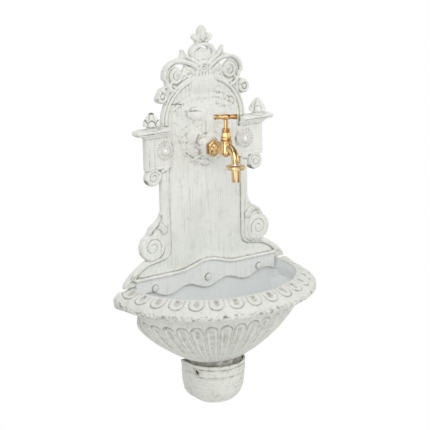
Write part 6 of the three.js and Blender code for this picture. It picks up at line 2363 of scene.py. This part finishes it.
@dataclass
class Studio:
    """Camera at the photo's angle, soft lights, a white surround and a pale floor far below."""

    camera_place: tuple[float, float, float] = (-1.46907, -2.16573, 0.65092)
    pitch: float = 14.777
    yaw: float = 34.617
    roll: float = 1.02
    lens: float = 121.36
    floor_height: float = -1.35
    floor_radius: float = 1.15
    surround_strength: float = 0.86
    soft_levels: tuple[Point, ...] = ((0.0, 0.7), (0.45, 0.62), (0.55, 0.75), (0.8, 1.0), (1.0, 1.05))
    panel_heights: tuple[Point, ...] = (
        (0.0, 0.4), (0.18, 0.2), (0.32, 0.9), (0.55, 0.9), (0.62, 1.5), (0.7, 0.35), (0.9, 0.3), (1.0, 1.0),
    )
    panels: tuple[Point, ...] = (
        (0.0, 0.9), (0.03, 0.08), (0.06, 0.9), (0.13, 1.0), (0.175, 3.4), (0.21, 0.9), (0.24, 0.06),
        (0.27, 0.9), (0.37, 0.8), (0.43, 0.06), (0.48, 0.8), (0.54, 2.6), (0.58, 0.9), (0.66, 0.9),
        (0.7, 0.08), (0.76, 1.0), (0.87, 0.2), (1.0, 0.9),
    )

    def add_camera(self) -> None:
        """Adds the camera."""
        pitch, yaw, roll = (math.radians(value) for value in (self.pitch, self.yaw, self.roll))
        ahead = Vector((math.sin(yaw) * math.cos(pitch), math.cos(yaw) * math.cos(pitch), -math.sin(pitch)))
        right = Vector((math.cos(yaw), -math.sin(yaw), 0))
        down = ahead.cross(right)
        turned_right = right * math.cos(roll) + down * math.sin(roll)
        turned_down = down * math.cos(roll) - right * math.sin(roll)
        data = bpy.data.cameras.new("photo_camera")
        data.lens = self.lens
        data.sensor_width = 36.0
        camera = bpy.data.objects.new("photo_camera", data)
        axes = Matrix((turned_right, -turned_down, -ahead)).transposed().to_4x4()
        camera.matrix_world = Matrix.Translation(Vector(self.camera_place)) @ axes
        bpy.context.collection.objects.link(camera)
        bpy.context.scene.camera = camera

    def add_light(
        self, name: str, place: tuple[float, ...], size: float, power: float, colour: tuple[float, ...]
    ) -> None:
        """Adds a soft square light that faces the fountain.

        Args:
            name: Its name.
            place: Where it stands, in metres.
            size: Length of its side in metres.
            power: Its power in watts.
            colour: Its colour.
        """
        data = bpy.data.lights.new(name, "AREA")
        data.size = size
        data.energy = power
        data.color = colour
        light = bpy.data.objects.new(name, data)
        light.location = place
        light.rotation_mode = "QUATERNION"
        light.rotation_quaternion = (Vector((0, 0, 0)) - Vector(place)).to_track_quat("-Z", "Y")
        bpy.context.collection.objects.link(light)

    def add_surround(self) -> None:
        """Adds a white surround, with light and dark panels that only reflections show."""
        world = bpy.data.worlds.new("surround")
        bpy.context.scene.world = world
        world.use_nodes = True
        sky = Graph(world.node_tree)
        ahead = sky.node("SeparateXYZ", {"Vector": sky.node("TexCoord", {}).outputs["Generated"]}).outputs
        turn = sky.math("ARCTAN2", ahead["X"], ahead["Y"])
        soft = self.add_ramp(sky, ahead["Z"], 1.0, self.soft_levels)
        bands = self.add_ramp(sky, ahead["Z"], 1.0, self.panel_heights)
        panels = self.add_ramp(sky, turn, math.pi, self.panels)
        path = sky.node("LightPath", {}).outputs
        seen = sky.node("Background", {"Color": soft, "Strength": self.surround_strength}).outputs[0]
        for kind, colour, strength in (
            ("Is Glossy Ray", panels, bands), ("Is Camera Ray", (1, 1, 1, 1), 1.0)
        ):
            shader = sky.node("Background", {"Color": colour, "Strength": strength}).outputs[0]
            seen = sky.node("MixShader", {"Fac": path[kind], 1: seen, 2: shader}).outputs[0]
        sky.node("OutputWorld", {"Surface": seen})

    def add_ramp(self, sky: Graph, value: Socket, reach: float, stops: tuple[Point, ...]) -> Socket:
        """Adds a ramp of grey levels.

        Args:
            sky: The world's nodes.
            value: What the ramp follows.
            reach: The value at its end, which is minus that at its start.
            stops: Share of the ramp and level, in order.

        Returns:
            The ramp's grey.
        """
        share = sky.node("MapRange", {"Value": value, "From Min": -reach, "From Max": reach})
        ramp = sky.node("ValToRGB", {"Fac": share.outputs["Result"]})
        while len(ramp.color_ramp.elements) < len(stops):
            ramp.color_ramp.elements.new(0.5)
        for element, (where, level) in zip(ramp.color_ramp.elements, stops):
            element.position = where
            element.color = (level, level, level, 1)
        return ramp.outputs["Color"]

    def add_floor(self) -> None:
        """Adds the pale floor."""
        bpy.ops.object.select_all(action="DESELECT")
        bpy.ops.mesh.primitive_circle_add(
            vertices=96, radius=self.floor_radius, fill_type="NGON", location=(0, 0, self.floor_height)
        )
        floor = bpy.context.object
        floor.name = "studio_floor"
        floor.data.materials.append(FloorFinish().build())

    def build(self) -> None:
        """Builds the whole studio."""
        bpy.context.scene.view_settings.view_transform = "Standard"
        self.add_camera()
        self.add_surround()
        self.add_light("key_light", (-1.6, -2.2, 1.9), 1.8, 24, (1.0, 0.99, 0.97))
        self.add_light("fill_light", (2.0, -1.8, 0.6), 1.8, 11, (0.97, 0.985, 1.0))
        self.add_light("low_light", (-0.3, -1.8, -1.2), 1.6, 7, (1.0, 1.0, 0.98))
        self.add_floor()


def main() -> None:
    """Builds the studio and the fountain."""
    logging.basicConfig(level=logging.INFO, format="%(name)s %(message)s")
    Studio().build()
    paint = CastPaint().build("cast_paint")
    rough_paint = CastPaint(light=srgb(230, 231, 226), streak_share=0.35, grain=0.95, cast_lumps=0.0024)
    cup_paint = CastPaint(
        light=srgb(228, 229, 222), dull=srgb(216, 217, 209), streak=srgb(176, 177, 168), grain=0.8,
        level=True,
    )
    bolt_paint = CastPaint(light=srgb(224, 225, 222)).build("bolt_paint")
    Backplate().build(paint)
    Basin().build(rough_paint.build("basin_paint"))
    DrainCup().build(cup_paint.build("cup_paint"))
    FlangeBolts().build(bolt_paint)
    dark_brass = PolishedBrass(
        bright=srgb(220, 180, 124), dull=srgb(160, 116, 66), smoothest=0.1, roughest=0.24
    )
    matt_brass = PolishedBrass(
        bright=srgb(248, 216, 166), dull=srgb(226, 188, 132), smoothest=0.25, roughest=0.36
    )
    GardenTap().build(
        PolishedBrass().build("brass"), dark_brass.build("dark_brass"), matt_brass.build("matt_brass")
    )


if __name__ == "__main__":
    main()
